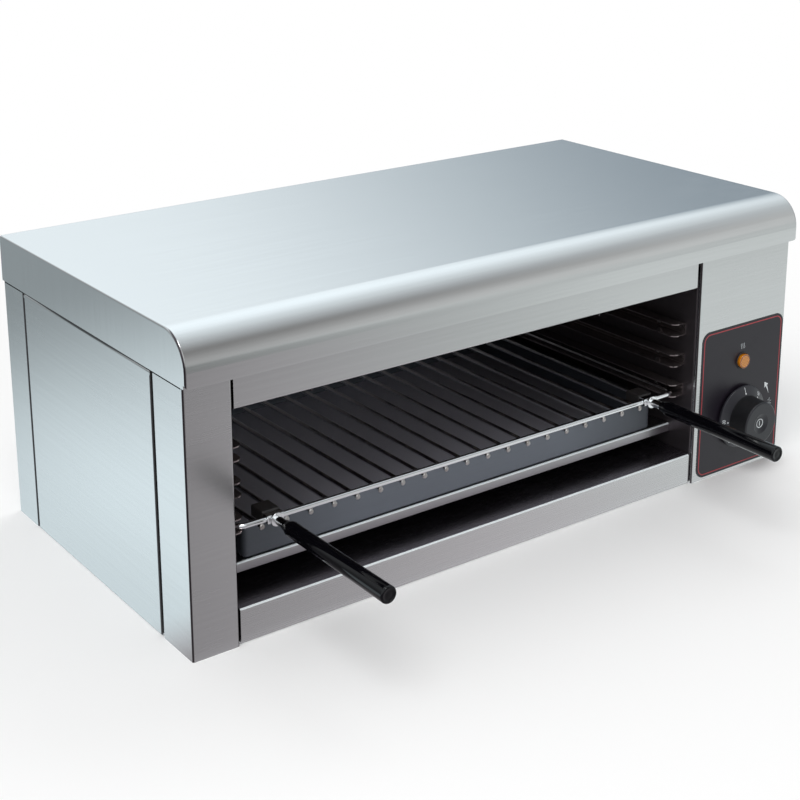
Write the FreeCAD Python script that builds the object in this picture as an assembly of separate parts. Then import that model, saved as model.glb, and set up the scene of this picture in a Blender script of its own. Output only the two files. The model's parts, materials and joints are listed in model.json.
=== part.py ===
"""Countertop cheese melter: a folded steel casing with a wire rack on three levels and a drip tray.

Lengths are in millimetres. The origin is the middle of the casing's underside, with +X to the right,
+Y to the back and +Z up. The rack and the drip tray slide out to the front, along -Y.
"""
import FreeCAD
import Part

import math
import os

from FreeCAD import Vector

# General values
overrun = 5.0               # how far a cutting shape passes the surface it cuts
touching = 1e-6             # points closer than this are the same point
sheet = 1.2                 # thickness of every folded sheet
bend = 1.0                  # inside radius of a fold
lip = 10.0                  # width of a stiffening lip

# Casing
casing_width = 800.0
casing_depth = 395.0
casing_height = 320.0
skirt_height = 50.0
lid_side_reach = 1.5
lid_front_reach = 8.5
bullnose_radius = 35.0
lid_back_radius = 4.0
lid_edge_radius = 2.2
lid_corner_radius = 5.0     # at the front skirt's lower corners
lid_side_gap = 2.5          # open joint between the lid's side skirts and the sheets under them
post_width = 50.0
control_width = 146.0
front_flange_depth = 57.0
back_flange_depth = 50.0
front_return_depth = 16.0
front_groove = 3.5
back_groove = 1.8
panel_drop = 18.0           # from the casing's top to the front columns' upper edges
lid_rest_gap = 0.5          # between the side panels' upper edges and the lid
shoulder_reach = 5.0        # how far the side panels step in to pass under the lid
return_relief = 1.5
panel_foot = 1.0

# Front strips, shelf and deck
strip_set_back = 2.5
strip_gap = 1.8
upper_strip_drop = 84.0     # from the casing's top to the upper strip's lower edge
upper_strip_return = 26.0
upper_strip_rise = 11.2     # from the strip's lower edge to the cavity's ceiling
shelf_top = 36.5
shelf_foot = 18.0
low_slot_height = 27.0      # from the shelf to the deck
deck_overhang = 2.0         # how far the deck reaches past the tray's front
deck_lip = 12.0
deck_front_lip = 10.0
deck_corner_relief = 6.0    # from the front lip to where the side lips start

# Cavity
wall_front_depth = 4.5
cavity_back_gap = 29.0      # from the cavity to the casing's back
insulation_height = 25.0
insulation_margin = 12.0

# Runners
runner_height = 15.0
runner_reach = 19.0
runner_headroom = 8.4       # left over the highest level, under the elements
runner_front_depth = 18.0
runner_back_gap = 14.0
runner_corner_radius = 8.0
rivet_shank_radius = 1.6
rivet_head_radius = 3.2
rivet_head_height = 0.9
rivet_inset = 40.0

# Rack
frame_wire_radius = 3.0
cross_wire_radius = 2.5
cross_wire_spacing = 27.6   # nominal, before the wires are spread evenly
cross_wire_reach = 1.5
rack_wall_gap = 7.8
rack_front_depth = 22.0
rack_back_gap = 16.0
rack_corner_radius = 12.0
handle_place = 1.5          # in cross wire pitches from the frame's side wire
rack_tray_gap = 3.1         # from the tray's rim to the cross wires
rack_lift = 0.3             # running clearance between the frame wire and the runner's lip

# Rack handles
strap_width = 18.0
strap_thickness = 1.4
strap_slack = 0.2
strap_length = 18.0
strap_bend = 0.6
block_width = 20.0
block_height = 12.0
block_length = 21.0
block_edge_radius = 1.5
collar_radius = 7.0
collar_thickness = 3.0
neck_radius = 4.5
neck_length = 14.0
stud_radius = 3.0
stud_length = 45.0
grip_length = 176.0
grip_back_radius = 8.8
grip_front_radius = 9.3
grip_back_round = 4.8
grip_front_bevel = 1.5
grip_recess_radius = 6.8
grip_recess_depth = 0.8

# Drip tray
tray_front_depth = 39.5
tray_back_gap = 8.5
tray_side_gap = 29.0
tray_height = 33.7
tray_sheet = 1.0
tray_lift = 0.3             # running clearance between the tray and the deck
tray_corner_radius = 6.0
tray_floor_radius = 3.0

# Heating elements
element_radius = 4.0
element_drop = 20.0         # from the ceiling's underside to the elements' axis
element_half_span = 28.0
element_place_shares = (0.26, 0.52, 0.78)
element_turn_margin = 60.0
element_tail = 18.0
nut_radius = 8.0
nut_height = 5.0
bead_radius = 3.4
bead_length = 6.0
pin_radius = 1.6
pin_length = 14.0
hanger_thickness = 1.5
hanger_clearance = 0.2
hanger_length = 30.0
hanger_margin = 25.0
hanger_flange = 12.0
hanger_inset = 112.0

# Thermostat and its sensor
knob_height = 67.0
bracket_half_width = 24.0
bracket_half_height = 12.0
thermostat_half_width = 20.0
thermostat_half_height = 22.0
thermostat_depth = 30.0
bush_radius = 5.0
bush_clearance = 0.5
shaft_radius = 3.0
shaft_flat = 0.8
shaft_clearance = 0.05
shaft_reach = 26.0
shaft_engagement = 12.0
bracket_screw_offset = 14.0
screw_radius = 1.9
screw_head_radius = 3.2
screw_head_height = 1.6
screw_length = 8.0
bulb_radius = 3.0
bulb_length = 80.0
bulb_drop = 14.0
bulb_inset = 15.0
clip_thickness = 1.0
clip_width = 6.0
clip_place_shares = (0.25, 0.75)
capillary_radius = 1.0
capillary_bend = 14.0
capillary_run = 50.0
capillary_fall = 60.0
capillary_entry = 14.0      # from the knob's axis to where the capillary enters the thermostat
grommet_clearance = 1.5

# Knob
knob_gap = 3.0              # from the control panel's face to the knob's back
skirt_radius = 37.5
skirt_rim = 3.0
skirt_slope = 4.5
hub_base_radius = 26.5
hub_radius = 25.6
hub_length = 23.5
hub_round = 2.0
dish_radius = 12.0
dish_depth = 2.5
dish_ring_share = 0.6       # of the dish's radius, where its floor flattens
dish_ring_depth_share = 0.75

# Indicator lamp and label
lamp_height = 135.0
lens_radius = 9.0
lens_length = 4.5
lens_dome = 1.5
lamp_stem_radius = 6.0
lamp_stem_length = 14.0
lamp_body_radius = 7.0
lamp_body_length = 16.0
lamp_nut_radius = 9.5
lamp_nut_height = 4.0
label_left_margin = 7.5
label_side_margin = 2.5
label_bottom = 3.0
label_top = 181.0
label_corner_radius = 12.0
label_thickness = 0.5
label_window_radius = 18.5

# Mains inlet
gland_inset = 70.0
gland_height = 48.0
gland_thread_radius = 8.0
gland_hex_radius = 12.0
gland_hex_height = 6.0
gland_dome_radius = 9.5
gland_dome_length = 14.0
gland_bore_radius = 4.5
gland_nut_height = 5.0
gland_thread_length = 12.0
terminal_length = 52.0
terminal_depth = 22.0
terminal_height = 18.0
terminal_back_gap = 45.0
terminal_count = 3
terminal_hole_radius = 3.0
terminal_screw_depth = 6.0

# Vents and outside screws
vent_length = 62.0
vent_radius = 2.0
vent_pitch = 12.0
vent_count = 6
vent_drop = 110.0           # from the casing's top to the uppermost vents
vent_spacing = 180.0
lid_screw_count = 5
lid_screw_drop = 30.0
lid_screw_margin = 60.0
base_screw_count = 4
base_screw_height = 7.0
outside_head_radius = 3.8
outside_head_height = 2.0

# Places worked out from the values above
left = -casing_width / 2
right = casing_width / 2
front = -casing_depth / 2
back = casing_depth / 2
opening_left = left + post_width
opening_right = right - control_width
panel_top = casing_height - panel_drop
skirt_bottom = casing_height - skirt_height
shoulder_height = skirt_bottom - lid_side_gap
upper_strip_bottom = casing_height - upper_strip_drop
deck_top = shelf_top + low_slot_height
cavity_left = opening_left + sheet
cavity_right = opening_right - sheet
cavity_centre = (cavity_left + cavity_right) / 2
cavity_back = back - cavity_back_gap
cavity_depth = cavity_back - front
cavity_ceiling = upper_strip_bottom + upper_strip_rise
strip_front = front + strip_set_back
ceiling_underside = cavity_ceiling - sheet
element_height = ceiling_underside - element_drop
element_depths = [share * cavity_depth for share in element_place_shares]
hanger_bottom = ceiling_underside - hanger_length
tray_top = deck_top + tray_lift + tray_height
tray_length = cavity_depth - tray_front_depth - tray_back_gap
cross_wire_level = tray_top + rack_tray_gap + cross_wire_radius
rack_level = cross_wire_level + cross_wire_radius + frame_wire_radius
rack_front = front + rack_front_depth
rack_back = cavity_back - rack_back_gap
rack_length = rack_back - rack_front
rack_half_width = (cavity_right - cavity_left) / 2 - rack_wall_gap - frame_wire_radius
cross_wire_count = round(2 * rack_half_width / cross_wire_spacing) - 1
cross_wire_pitch = 2 * rack_half_width / (cross_wire_count + 1)
lowest_runner_bottom = rack_level - frame_wire_radius - rack_lift - sheet
runner_length = cavity_depth - runner_front_depth - runner_back_gap
runner_levels = ("lower", "middle", "upper")
levels_top = element_height - element_radius - runner_headroom
runner_pitch = (levels_top - lowest_runner_bottom) / len(runner_levels)
handle_offset = rack_half_width - handle_place * cross_wire_pitch
strap_inner_reach = frame_wire_radius + strap_slack
strap_outer_reach = strap_inner_reach + strap_thickness
label_width = control_width - label_side_margin - label_left_margin
knob_axis_x = right - label_side_margin - label_width / 2
knob_back = front - knob_gap
panel_inside = front + sheet
bracket_back = panel_inside + sheet
bulb_level = ceiling_underside - bulb_drop
bulb_y = front + (element_depths[0] + element_depths[1]) / 2
bulb_end = cavity_right - bulb_inset

east = Vector(1, 0, 0)
north = Vector(0, 1, 0)
up = Vector(0, 0, 1)


def box(x_span, y_span, z_span):
    """A block between three pairs of planes."""
    corner = Vector(x_span[0], y_span[0], z_span[0])
    return Part.makeBox(x_span[1] - x_span[0], y_span[1] - y_span[0], z_span[1] - z_span[0], corner)


def bar(start, direction, length, radius):
    """A round bar from a point, along a direction."""
    return Part.makeCylinder(radius, length, start, direction)


def fuse_all(shapes):
    """One solid out of pieces that meet."""
    joined = shapes[0].multiFuse(shapes[1:])
    return joined.removeSplitter()


def corner_arc(before, corner, after, radius):
    """The start, middle and end of the tangent arc that rounds a corner."""
    to_before = (before - corner).normalize()
    to_after = (after - corner).normalize()
    half_angle = to_before.getAngle(to_after) / 2
    reach = radius / math.tan(half_angle)
    centre = corner + (to_before + to_after).normalize() * (radius / math.sin(half_angle))
    middle = centre + (corner - centre).normalize() * radius
    return corner + to_before * reach, middle, corner + to_after * reach


def rounded_wire(corners, closed=True):
    """A wire through (point, radius) corners, with a tangent arc wherever the radius isn't zero."""
    count = len(corners)
    stops = []
    for index, (point, radius) in enumerate(corners):
        if radius == 0:
            stops.append((point, None, point))
        else:
            before = corners[index - 1][0]
            after = corners[(index + 1) % count][0]
            stops.append(corner_arc(before, point, after, radius))
    edges = []
    for index, (arrive, middle, leave) in enumerate(stops):
        if middle is not None:
            edges.append(Part.Arc(arrive, middle, leave).toShape())
        if closed or index < count - 1:
            following = stops[(index + 1) % count][0]
            if leave.distanceToPoint(following) > touching:
                edges.append(Part.LineSegment(leave, following).toShape())
    return Part.Wire(edges)


def folded_sheet(line, normal, extrusion, thickness=sheet, inside=bend):
    """A sheet folded along a line of points, then drawn out.

    The thickness lies to the left of the line, for an eye that the normal points at.
    """
    lefts = []
    for start, end in zip(line, line[1:]):
        lefts.append(normal.cross(end - start).normalize())
    near = [(line[0], 0)]
    far = [(line[0] + lefts[0] * thickness, 0)]
    for index in range(1, len(line) - 1):
        first = lefts[index - 1]
        second = lefts[index]
        offset = (first + second) * (thickness / (1 + first.dot(second)))
        turns_left = normal.dot(first.cross(second)) > 0
        near_radius = inside + thickness if turns_left else inside
        far_radius = inside if turns_left else inside + thickness
        near.append((line[index], near_radius))
        far.append((line[index] + offset, far_radius))
    near.append((line[-1], 0))
    far.append((line[-1] + lefts[-1] * thickness, 0))
    return Part.Face(rounded_wire(near + far[::-1])).extrude(extrusion)


def tube_along(path, radius):
    """A round rod along a smooth wire."""
    first = path.Edges[0]
    start = first.valueAt(first.FirstParameter)
    direction = first.tangentAt(first.FirstParameter)
    section = Part.Wire(Part.Circle(start, direction, radius).toShape())
    return path.makePipeShell([section], True, False)


def turned(profile, axis_x, axis_z):
    """A body turned about an axis along Y, from (radius, depth) corners with a rounding each."""
    corners = []
    for radius, y, rounding in profile:
        corners.append((Vector(axis_x + radius, y, axis_z), rounding))
    face = Part.Face(rounded_wire(corners))
    return face.revolve(Vector(axis_x, 0, axis_z), north, 360)


def hexagon_bar(centre, direction, radius, length, bore=0):
    """A hexagonal nut or head, with its corners on the radius."""
    frame = FreeCAD.Placement(centre, FreeCAD.Rotation(up, direction))
    corners = []
    for index in range(6):
        angle = math.radians(60 * index)
        flat_point = Vector(radius * math.cos(angle), radius * math.sin(angle), 0)
        corners.append((frame.multVec(flat_point), 0))
    solid = Part.Face(rounded_wire(corners)).extrude(direction * length)
    if bore:
        solid = solid.cut(bar(centre - direction * overrun, direction, length + 2 * overrun, bore))
    return solid


def ordered(line, inward):
    """A line drawn for the left side of the casing, or turned round for the right side."""
    return line if inward > 0 else line[::-1]


def spread(start, end, count):
    """Evenly spaced values from start to end."""
    step = (end - start) / (count - 1)
    return [start + step * index for index in range(count)]


# The casing

def lid_block(inset):
    """The lid's filled outline, drawn in by an inset on every side but its open bottom."""
    x_from = left - lid_side_reach + inset
    x_to = right + lid_side_reach - inset
    y_from = front - lid_front_reach + inset
    y_to = back + lid_side_reach - inset
    z_to = casing_height - inset
    z_from = skirt_bottom - (overrun if inset else 0)
    outline = rounded_wire([
        (Vector(x_from, y_from, z_from), 0),
        (Vector(x_from, y_from, z_to), bullnose_radius - inset),
        (Vector(x_from, y_to, z_to), lid_back_radius - inset),
        (Vector(x_from, y_to, z_from), 0),
    ])
    block = Part.Face(outline).extrude(east * (x_to - x_from))
    rims = []
    for edge in block.Edges:
        bounds = edge.BoundBox
        if bounds.XLength < touching and bounds.ZMax > z_from + touching:
            rims.append(edge)
    return block.makeFillet(lid_edge_radius - inset, rims)


def skirt_corner(corner_x, inward):
    """What rounding takes off one lower corner of the lid's front skirt."""
    reach = inward * lid_corner_radius
    skirt_front = front - lid_front_reach
    y_span = (skirt_front - overrun, skirt_front + lid_edge_radius + sheet)
    x_span = sorted((corner_x - inward * overrun, corner_x + reach))
    block = box(x_span, y_span, (skirt_bottom - overrun, skirt_bottom + lid_corner_radius))
    centre = Vector(corner_x + reach, y_span[0], skirt_bottom + lid_corner_radius)
    return block.cut(bar(centre, north, y_span[1] - y_span[0], lid_corner_radius))


def make_lid():
    """The lid: a shell with a rounded front, its skirts, and the holes of the back screws."""
    lid = lid_block(0).cut(lid_block(sheet))
    lid = lid.cut([skirt_corner(left - lid_side_reach, 1), skirt_corner(right + lid_side_reach, -1)])
    for x in lid_screw_places():
        lid = lid.cut(bar(Vector(x, back - overrun, lid_screw_level()), north, 3 * overrun, screw_radius))
    return lid


def flange_relief(side_x, inward, y_span):
    """What is cut off a side flange so that it ends under the lid's side skirt."""
    x_span = sorted((side_x - inward * overrun, side_x + inward * (lip + overrun)))
    return box(x_span, y_span, (shoulder_height, panel_top + overrun))


def front_column(side_x, opening_x):
    """A folded front column: side flange, front face and the return beside the opening."""
    inward = math.copysign(1, opening_x - side_x)
    line = ordered([
        Vector(side_x + inward * lip, front + front_flange_depth, 0),
        Vector(side_x, front + front_flange_depth, 0),
        Vector(side_x, front, 0),
        Vector(opening_x, front, 0),
        Vector(opening_x, front + front_return_depth, 0),
    ], inward)
    column = folded_sheet(line, up, up * panel_top)
    flange_span = (front + sheet + bend, front + front_flange_depth + overrun)
    return column.cut(flange_relief(side_x, inward, flange_span))


def make_control_panel():
    """The right column, with the holes for the thermostat and the lamp."""
    panel = front_column(right, opening_right)
    for z, radius in ((knob_height, bush_radius + bush_clearance), (lamp_height, lamp_stem_radius)):
        panel = panel.cut(bar(Vector(knob_axis_x, front - overrun, z), north, 3 * overrun, radius))
    for x in bracket_screw_places():
        panel = panel.cut(bar(Vector(x, front - overrun, knob_height), north, 3 * overrun, screw_radius))
    return panel


def side_panel(side_x, inward):
    """A side panel with lips along its front and back edges, stepped in at the top to carry the lid."""
    y_from = front + front_flange_depth + front_groove
    y_to = back - back_flange_depth - back_groove
    lips_top = shoulder_height - 2 * (sheet + bend)
    line = ordered([
        Vector(side_x + inward * lip, y_to, panel_foot),
        Vector(side_x, y_to, panel_foot),
        Vector(side_x, y_from, panel_foot),
        Vector(side_x + inward * lip, y_from, panel_foot),
    ], inward)
    panel = folded_sheet(line, up, up * (lips_top - panel_foot))
    riser_x = side_x + inward * shoulder_reach
    step = ordered([
        Vector(side_x, y_from, lips_top),
        Vector(side_x, y_from, shoulder_height),
        Vector(riser_x, y_from, shoulder_height),
        Vector(riser_x, y_from, casing_height - sheet - lid_rest_gap),
    ], inward)
    riser = folded_sheet(step, north, north * (y_to - y_from))
    return fuse_all([panel, riser])


def vent_slots():
    """Two banks of level slots, as the solids that cut them."""
    slots = []
    for bank_x in (-vent_spacing, vent_spacing):
        for index in range(vent_count):
            z = casing_height - vent_drop - index * vent_pitch
            x_from = bank_x - vent_length / 2
            x_to = bank_x + vent_length / 2
            depth = (back - 2 * overrun, back + overrun)
            slots.append(box((x_from, x_to), depth, (z - vent_radius, z + vent_radius)))
            for x in (x_from, x_to):
                slots.append(bar(Vector(x, depth[0], z), north, 3 * overrun, vent_radius))
    return slots


def make_back_panel():
    """The back, whose side flanges wrap round to the side panels."""
    y_from = back - back_flange_depth
    line = [
        Vector(right - lip, y_from, 0),
        Vector(right, y_from, 0),
        Vector(right, back, 0),
        Vector(left, back, 0),
        Vector(left, y_from, 0),
        Vector(left + lip, y_from, 0),
    ]
    panel = folded_sheet(line, up, up * panel_top)
    flange_span = (y_from - overrun, back - sheet - bend)
    cutters = vent_slots()
    cutters += [flange_relief(left, 1, flange_span), flange_relief(right, -1, flange_span)]
    gland_start = Vector(right - gland_inset, back - 2 * overrun, gland_height)
    cutters.append(bar(gland_start, north, 4 * overrun, gland_thread_radius))
    for x in lid_screw_places():
        start = Vector(x, back - 2 * overrun, lid_screw_level())
        cutters.append(bar(start, north, 4 * overrun, screw_radius))
    for x in base_screw_places():
        start = Vector(x, back - 2 * overrun, base_screw_height)
        cutters.append(bar(start, north, 4 * overrun, screw_radius))
    return panel.cut(cutters)


def make_upper_strip():
    """The strip over the opening: face, return and a lip turned up to the ceiling's edge."""
    x_from = cavity_left + strip_gap
    x_to = cavity_right - strip_gap
    y_to = strip_front + upper_strip_return
    line = [
        Vector(x_from, strip_front, panel_top),
        Vector(x_from, strip_front, upper_strip_bottom),
        Vector(x_from, y_to, upper_strip_bottom),
        Vector(x_from, y_to, cavity_ceiling),
    ]
    return folded_sheet(line, east, east * (x_to - x_from))


def make_lower_shelf():
    """The lower strip folded back into the floor of the low slot, with a foot under the casing."""
    x_from = cavity_left + strip_gap
    x_to = cavity_right - strip_gap
    line = [
        Vector(x_from, cavity_back, shelf_top),
        Vector(x_from, strip_front, shelf_top),
        Vector(x_from, strip_front, 0),
        Vector(x_from, strip_front + shelf_foot, 0),
    ]
    return folded_sheet(line, east, east * (x_to - x_from))


def make_bottom_pan():
    """The base sheet between the lips of the side sheets, with a lip up the sides and the back."""
    y_from = strip_front + shelf_foot
    y_to = back - sheet
    x_from = left + lip
    x_to = right - lip
    line = [
        Vector(x_from, y_from, lip),
        Vector(x_from, y_from, 0),
        Vector(x_to, y_from, 0),
        Vector(x_to, y_from, lip),
    ]
    pan = folded_sheet(line, -north, north * (y_to - y_from))
    inner_span = (x_from + sheet + bend, x_to - sheet - bend)
    back_lip = box(inner_span, (y_to - sheet, y_to), (0, lip))
    pan = fuse_all([pan, back_lip])
    for x in base_screw_places():
        start = Vector(x, back - 2 * overrun, base_screw_height)
        pan = pan.cut(bar(start, north, 4 * overrun, screw_radius))
    return pan


# The cavity

def cavity_side_wall(wall_x, inward):
    """A side wall of the cavity: its top flange stops behind the front column's return."""
    y_from = front + wall_front_depth
    line = ordered([
        Vector(wall_x, y_from, sheet),
        Vector(wall_x, y_from, cavity_ceiling),
        Vector(wall_x - inward * lip, y_from, cavity_ceiling),
    ], inward)
    wall = folded_sheet(line, -north, north * (cavity_back - y_from))
    outside = wall_x - inward * sheet
    flange_x = sorted((outside, outside - inward * (lip + overrun)))
    relief = box(flange_x, (y_from - overrun, front + front_return_depth + return_relief),
                 (cavity_ceiling - lip, cavity_ceiling + overrun))
    return wall.cut(rivet_holes(wall_x, inward) + [relief])


def make_right_wall():
    """The right wall, with the holes for the elements' ends and the sensor's capillary."""
    wall = cavity_side_wall(cavity_right, -1)
    cutters = []
    for depth in element_depths:
        for y in element_legs(depth):
            start = Vector(cavity_right - overrun, y, element_height)
            cutters.append(bar(start, east, 3 * overrun, element_radius))
    start = Vector(cavity_right - overrun, bulb_y, bulb_level)
    cutters.append(bar(start, east, 3 * overrun, capillary_radius + grommet_clearance))
    return wall.cut(cutters)


def make_cavity_back():
    """The flat back wall of the cavity."""
    x_span = (cavity_left - sheet, cavity_right + sheet)
    return box(x_span, (cavity_back, cavity_back + sheet), (sheet, cavity_ceiling))


def flanged_plate(top, y_from, side_lip):
    """A level sheet across the cavity, with a lip down each side wall."""
    line = [
        Vector(cavity_right, y_from, top - side_lip),
        Vector(cavity_right, y_from, top),
        Vector(cavity_left, y_from, top),
        Vector(cavity_left, y_from, top - side_lip),
    ]
    return folded_sheet(line, -north, north * (cavity_back - y_from))


def make_deck():
    """The sheet under the tray: a lip down each side wall, and one across its front edge."""
    y_from = front + tray_front_depth - deck_overhang
    y_relief = y_from + deck_corner_relief
    line = [
        Vector(cavity_left, y_relief, deck_top),
        Vector(cavity_left, y_from, deck_top),
        Vector(cavity_left, y_from, deck_top - deck_front_lip),
    ]
    edge = folded_sheet(line, east, east * (cavity_right - cavity_left))
    return fuse_all([flanged_plate(deck_top, y_relief, deck_lip), edge])


def make_insulation():
    """The insulation slab above the ceiling."""
    x_span = (cavity_left - lip, cavity_right + lip)
    y_span = (strip_front + upper_strip_return + insulation_margin, cavity_back - insulation_margin)
    return box(x_span, y_span, (cavity_ceiling, cavity_ceiling + insulation_height))


# Runners

def runner_bottoms():
    """The underside of each level's runner, from the lowest up."""
    return [lowest_runner_bottom + runner_pitch * level for level in range(len(runner_levels))]


def rivet_places():
    """The depth and height of every runner rivet on one wall."""
    y_from = front + runner_front_depth + rivet_inset
    y_to = front + runner_front_depth + runner_length - rivet_inset
    places = []
    for bottom in runner_bottoms():
        for y in (y_from, y_to):
            places.append((y, bottom + runner_height / 2))
    return places


def rivet_holes(wall_x, inward):
    """The solids that cut one wall's rivet holes."""
    start_x = wall_x - inward * overrun
    return [bar(Vector(start_x, y, z), east * inward, 3 * overrun, rivet_shank_radius)
            for y, z in rivet_places()]


def lip_corner(corner_x, corner_y, into_x, into_y, z_span):
    """What rounding takes off one corner of a runner's lips."""
    radius = runner_corner_radius
    x_span = sorted((corner_x, corner_x + into_x * radius))
    y_span = sorted((corner_y, corner_y + into_y * radius))
    centre = Vector(corner_x + into_x * radius, corner_y + into_y * radius, z_span[0])
    return box(x_span, y_span, z_span).cut(bar(centre, up, z_span[1] - z_span[0], radius))


def make_runner(wall_x, inward, bottom):
    """A C-channel on its wall: the rack's side wire runs between the two lips."""
    y_from = front + runner_front_depth
    y_to = y_from + runner_length
    tip_x = wall_x + inward * runner_reach
    line = ordered([
        Vector(tip_x, y_from, bottom + runner_height),
        Vector(wall_x, y_from, bottom + runner_height),
        Vector(wall_x, y_from, bottom),
        Vector(tip_x, y_from, bottom),
    ], inward)
    channel = folded_sheet(line, -north, north * runner_length)
    z_span = (bottom - overrun, bottom + runner_height + overrun)
    cutters = rivet_holes(wall_x, inward)
    cutters.append(lip_corner(tip_x, y_from, -inward, 1, z_span))
    cutters.append(lip_corner(tip_x, y_to, -inward, -1, z_span))
    return channel.cut(cutters)


def rivet(wall_x, inward, y, z):
    """A rivet through a runner's web and the wall, with a head on each side."""
    face = wall_x + inward * sheet
    outside = wall_x - inward * sheet
    direction = east * inward
    shank = bar(Vector(outside, y, z), direction, 2 * sheet, rivet_shank_radius)
    head = bar(Vector(face, y, z), direction, rivet_head_height, rivet_head_radius)
    tail = bar(Vector(outside, y, z), -direction, rivet_head_height, rivet_head_radius)
    return fuse_all([shank, head, tail])


def make_runner_rivets():
    """Every runner rivet, as separate solids."""
    rivets = []
    for wall_x, inward in ((cavity_left, 1), (cavity_right, -1)):
        for y, z in rivet_places():
            rivets.append(rivet(wall_x, inward, y, z))
    return Part.makeCompound(rivets)


# The rack

def make_rack_frame():
    """The rack's frame: one wire bent round into a rectangle."""
    corners = []
    for x, y in ((-1, rack_front), (1, rack_front), (1, rack_back), (-1, rack_back)):
        point = Vector(cavity_centre + x * rack_half_width, y, rack_level)
        corners.append((point, rack_corner_radius))
    loop = rounded_wire(corners)
    return tube_along(loop, frame_wire_radius)


def make_cross_wires():
    """The cross wires under the frame, each a separate solid with its cut ends past the frame."""
    wires = []
    first_x = cavity_centre - rack_half_width
    length = rack_length + 2 * cross_wire_reach
    for index in range(cross_wire_count):
        x = first_x + cross_wire_pitch * (index + 1)
        start = Vector(x, rack_front - cross_wire_reach, cross_wire_level)
        wires.append(bar(start, north, length, cross_wire_radius))
    return Part.makeCompound(wires)


def handle_strap(x):
    """The strap folded round the front wire, open to the back."""
    x_from = x - strap_width / 2
    y_to = rack_front + strap_length
    line = [
        Vector(x_from, y_to, rack_level + strap_outer_reach),
        Vector(x_from, rack_front - strap_outer_reach, rack_level + strap_outer_reach),
        Vector(x_from, rack_front - strap_outer_reach, rack_level - strap_outer_reach),
        Vector(x_from, y_to, rack_level - strap_outer_reach),
    ]
    return folded_sheet(line, east, east * strap_width, strap_thickness, strap_bend)


def handle_block(x):
    """The block moulded over the strap's ends, behind the front wire."""
    y_from = rack_front + strap_inner_reach + strap_thickness
    y_span = (y_from, y_from + block_length)
    x_span = (x - block_width / 2, x + block_width / 2)
    z_span = (rack_level - block_height / 2, rack_level + block_height / 2)
    block = box(x_span, y_span, z_span)
    block = block.makeFillet(block_edge_radius, block.Edges)
    return block.cut(handle_strap(x))


def handle_stud(x):
    """The collar against the strap, the neck, and the stud that the grip is screwed on."""
    collar_back = rack_front - strap_outer_reach
    neck_front = collar_back - collar_thickness - neck_length
    forward = -north
    collar = bar(Vector(x, collar_back, rack_level), forward, collar_thickness, collar_radius)
    collar = collar.makeFillet(collar_thickness / 4, collar.Edges)
    neck = bar(Vector(x, collar_back, rack_level), forward, collar_thickness + neck_length, neck_radius)
    stud = bar(Vector(x, neck_front, rack_level), forward, stud_length, stud_radius)
    return fuse_all([collar, neck, stud])


def handle_grip(x):
    """The tapered grip, bored for the stud and dished at its front end."""
    y_back = rack_front - strap_outer_reach - collar_thickness - neck_length
    y_front = y_back - grip_length
    bore_end = y_back - stud_length
    return turned([
        (stud_radius, y_back, 0),
        (grip_back_radius, y_back, grip_back_round),
        (grip_front_radius, y_front, grip_front_bevel),
        (grip_recess_radius, y_front, 0),
        (grip_recess_radius, y_front + grip_recess_depth, 0),
        (0, y_front + grip_recess_depth, 0),
        (0, bore_end, 0),
        (stud_radius, bore_end, 0),
    ], x, rack_level)


# The drip tray

def make_drip_tray():
    """An open tray with rounded corners, folded from thin sheet."""
    floor = deck_top + tray_lift
    x_span = (cavity_left + tray_side_gap, cavity_right - tray_side_gap)
    y_span = (front + tray_front_depth, front + tray_front_depth + tray_length)
    outer = tray_block(x_span, y_span, (floor, tray_top), 0)
    inner = tray_block(x_span, y_span, (floor, tray_top + overrun), tray_sheet)
    return outer.cut(inner)


def tray_block(x_span, y_span, z_span, inset):
    """The tray's filled shape, drawn in on its sides and floor."""
    block = box((x_span[0] + inset, x_span[1] - inset),
                (y_span[0] + inset, y_span[1] - inset),
                (z_span[0] + inset, z_span[1]))
    upright = [edge for edge in block.Edges if edge.BoundBox.ZLength > tray_floor_radius]
    block = block.makeFillet(tray_corner_radius - inset, upright)
    floor_level = z_span[0] + inset
    low = [edge for edge in block.Edges if edge.BoundBox.ZMax < floor_level + touching]
    return block.makeFillet(tray_floor_radius - inset, low)


# Heating elements

def element_legs(depth):
    """The two leg places of an element, in Y."""
    return (front + depth - element_half_span, front + depth + element_half_span)


def make_element(depth):
    """A tubular element: two legs from the right wall, joined by a half turn on the left."""
    near_y, far_y = element_legs(depth)
    x_end = cavity_right + sheet + element_tail
    x_turn = cavity_left + element_turn_margin
    near_end = Vector(x_end, near_y, element_height)
    near_turn = Vector(x_turn, near_y, element_height)
    middle = Vector(x_turn - element_half_span, front + depth, element_height)
    far_turn = Vector(x_turn, far_y, element_height)
    far_end = Vector(x_end, far_y, element_height)
    path = Part.Wire([
        Part.LineSegment(near_end, near_turn).toShape(),
        Part.Arc(near_turn, middle, far_turn).toShape(),
        Part.LineSegment(far_turn, far_end).toShape(),
    ])
    return tube_along(path, element_radius)


def make_element_nuts():
    """The nuts that hold the elements' ends against the outside of the right wall."""
    nuts = []
    for depth in element_depths:
        for y in element_legs(depth):
            centre = Vector(cavity_right + sheet, y, element_height)
            nuts.append(hexagon_bar(centre, east, nut_radius, nut_height, element_radius))
    return Part.makeCompound(nuts)


def make_element_terminals():
    """The ceramic bead and the pin on each end of the elements."""
    terminals = []
    x = cavity_right + sheet + element_tail
    for depth in element_depths:
        for y in element_legs(depth):
            start = Vector(x, y, element_height)
            bead = bar(start, east, bead_length, bead_radius)
            pin = bar(start, east, bead_length + pin_length, pin_radius)
            terminals.append(fuse_all([bead, pin]))
    return Part.makeCompound(terminals)


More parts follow.
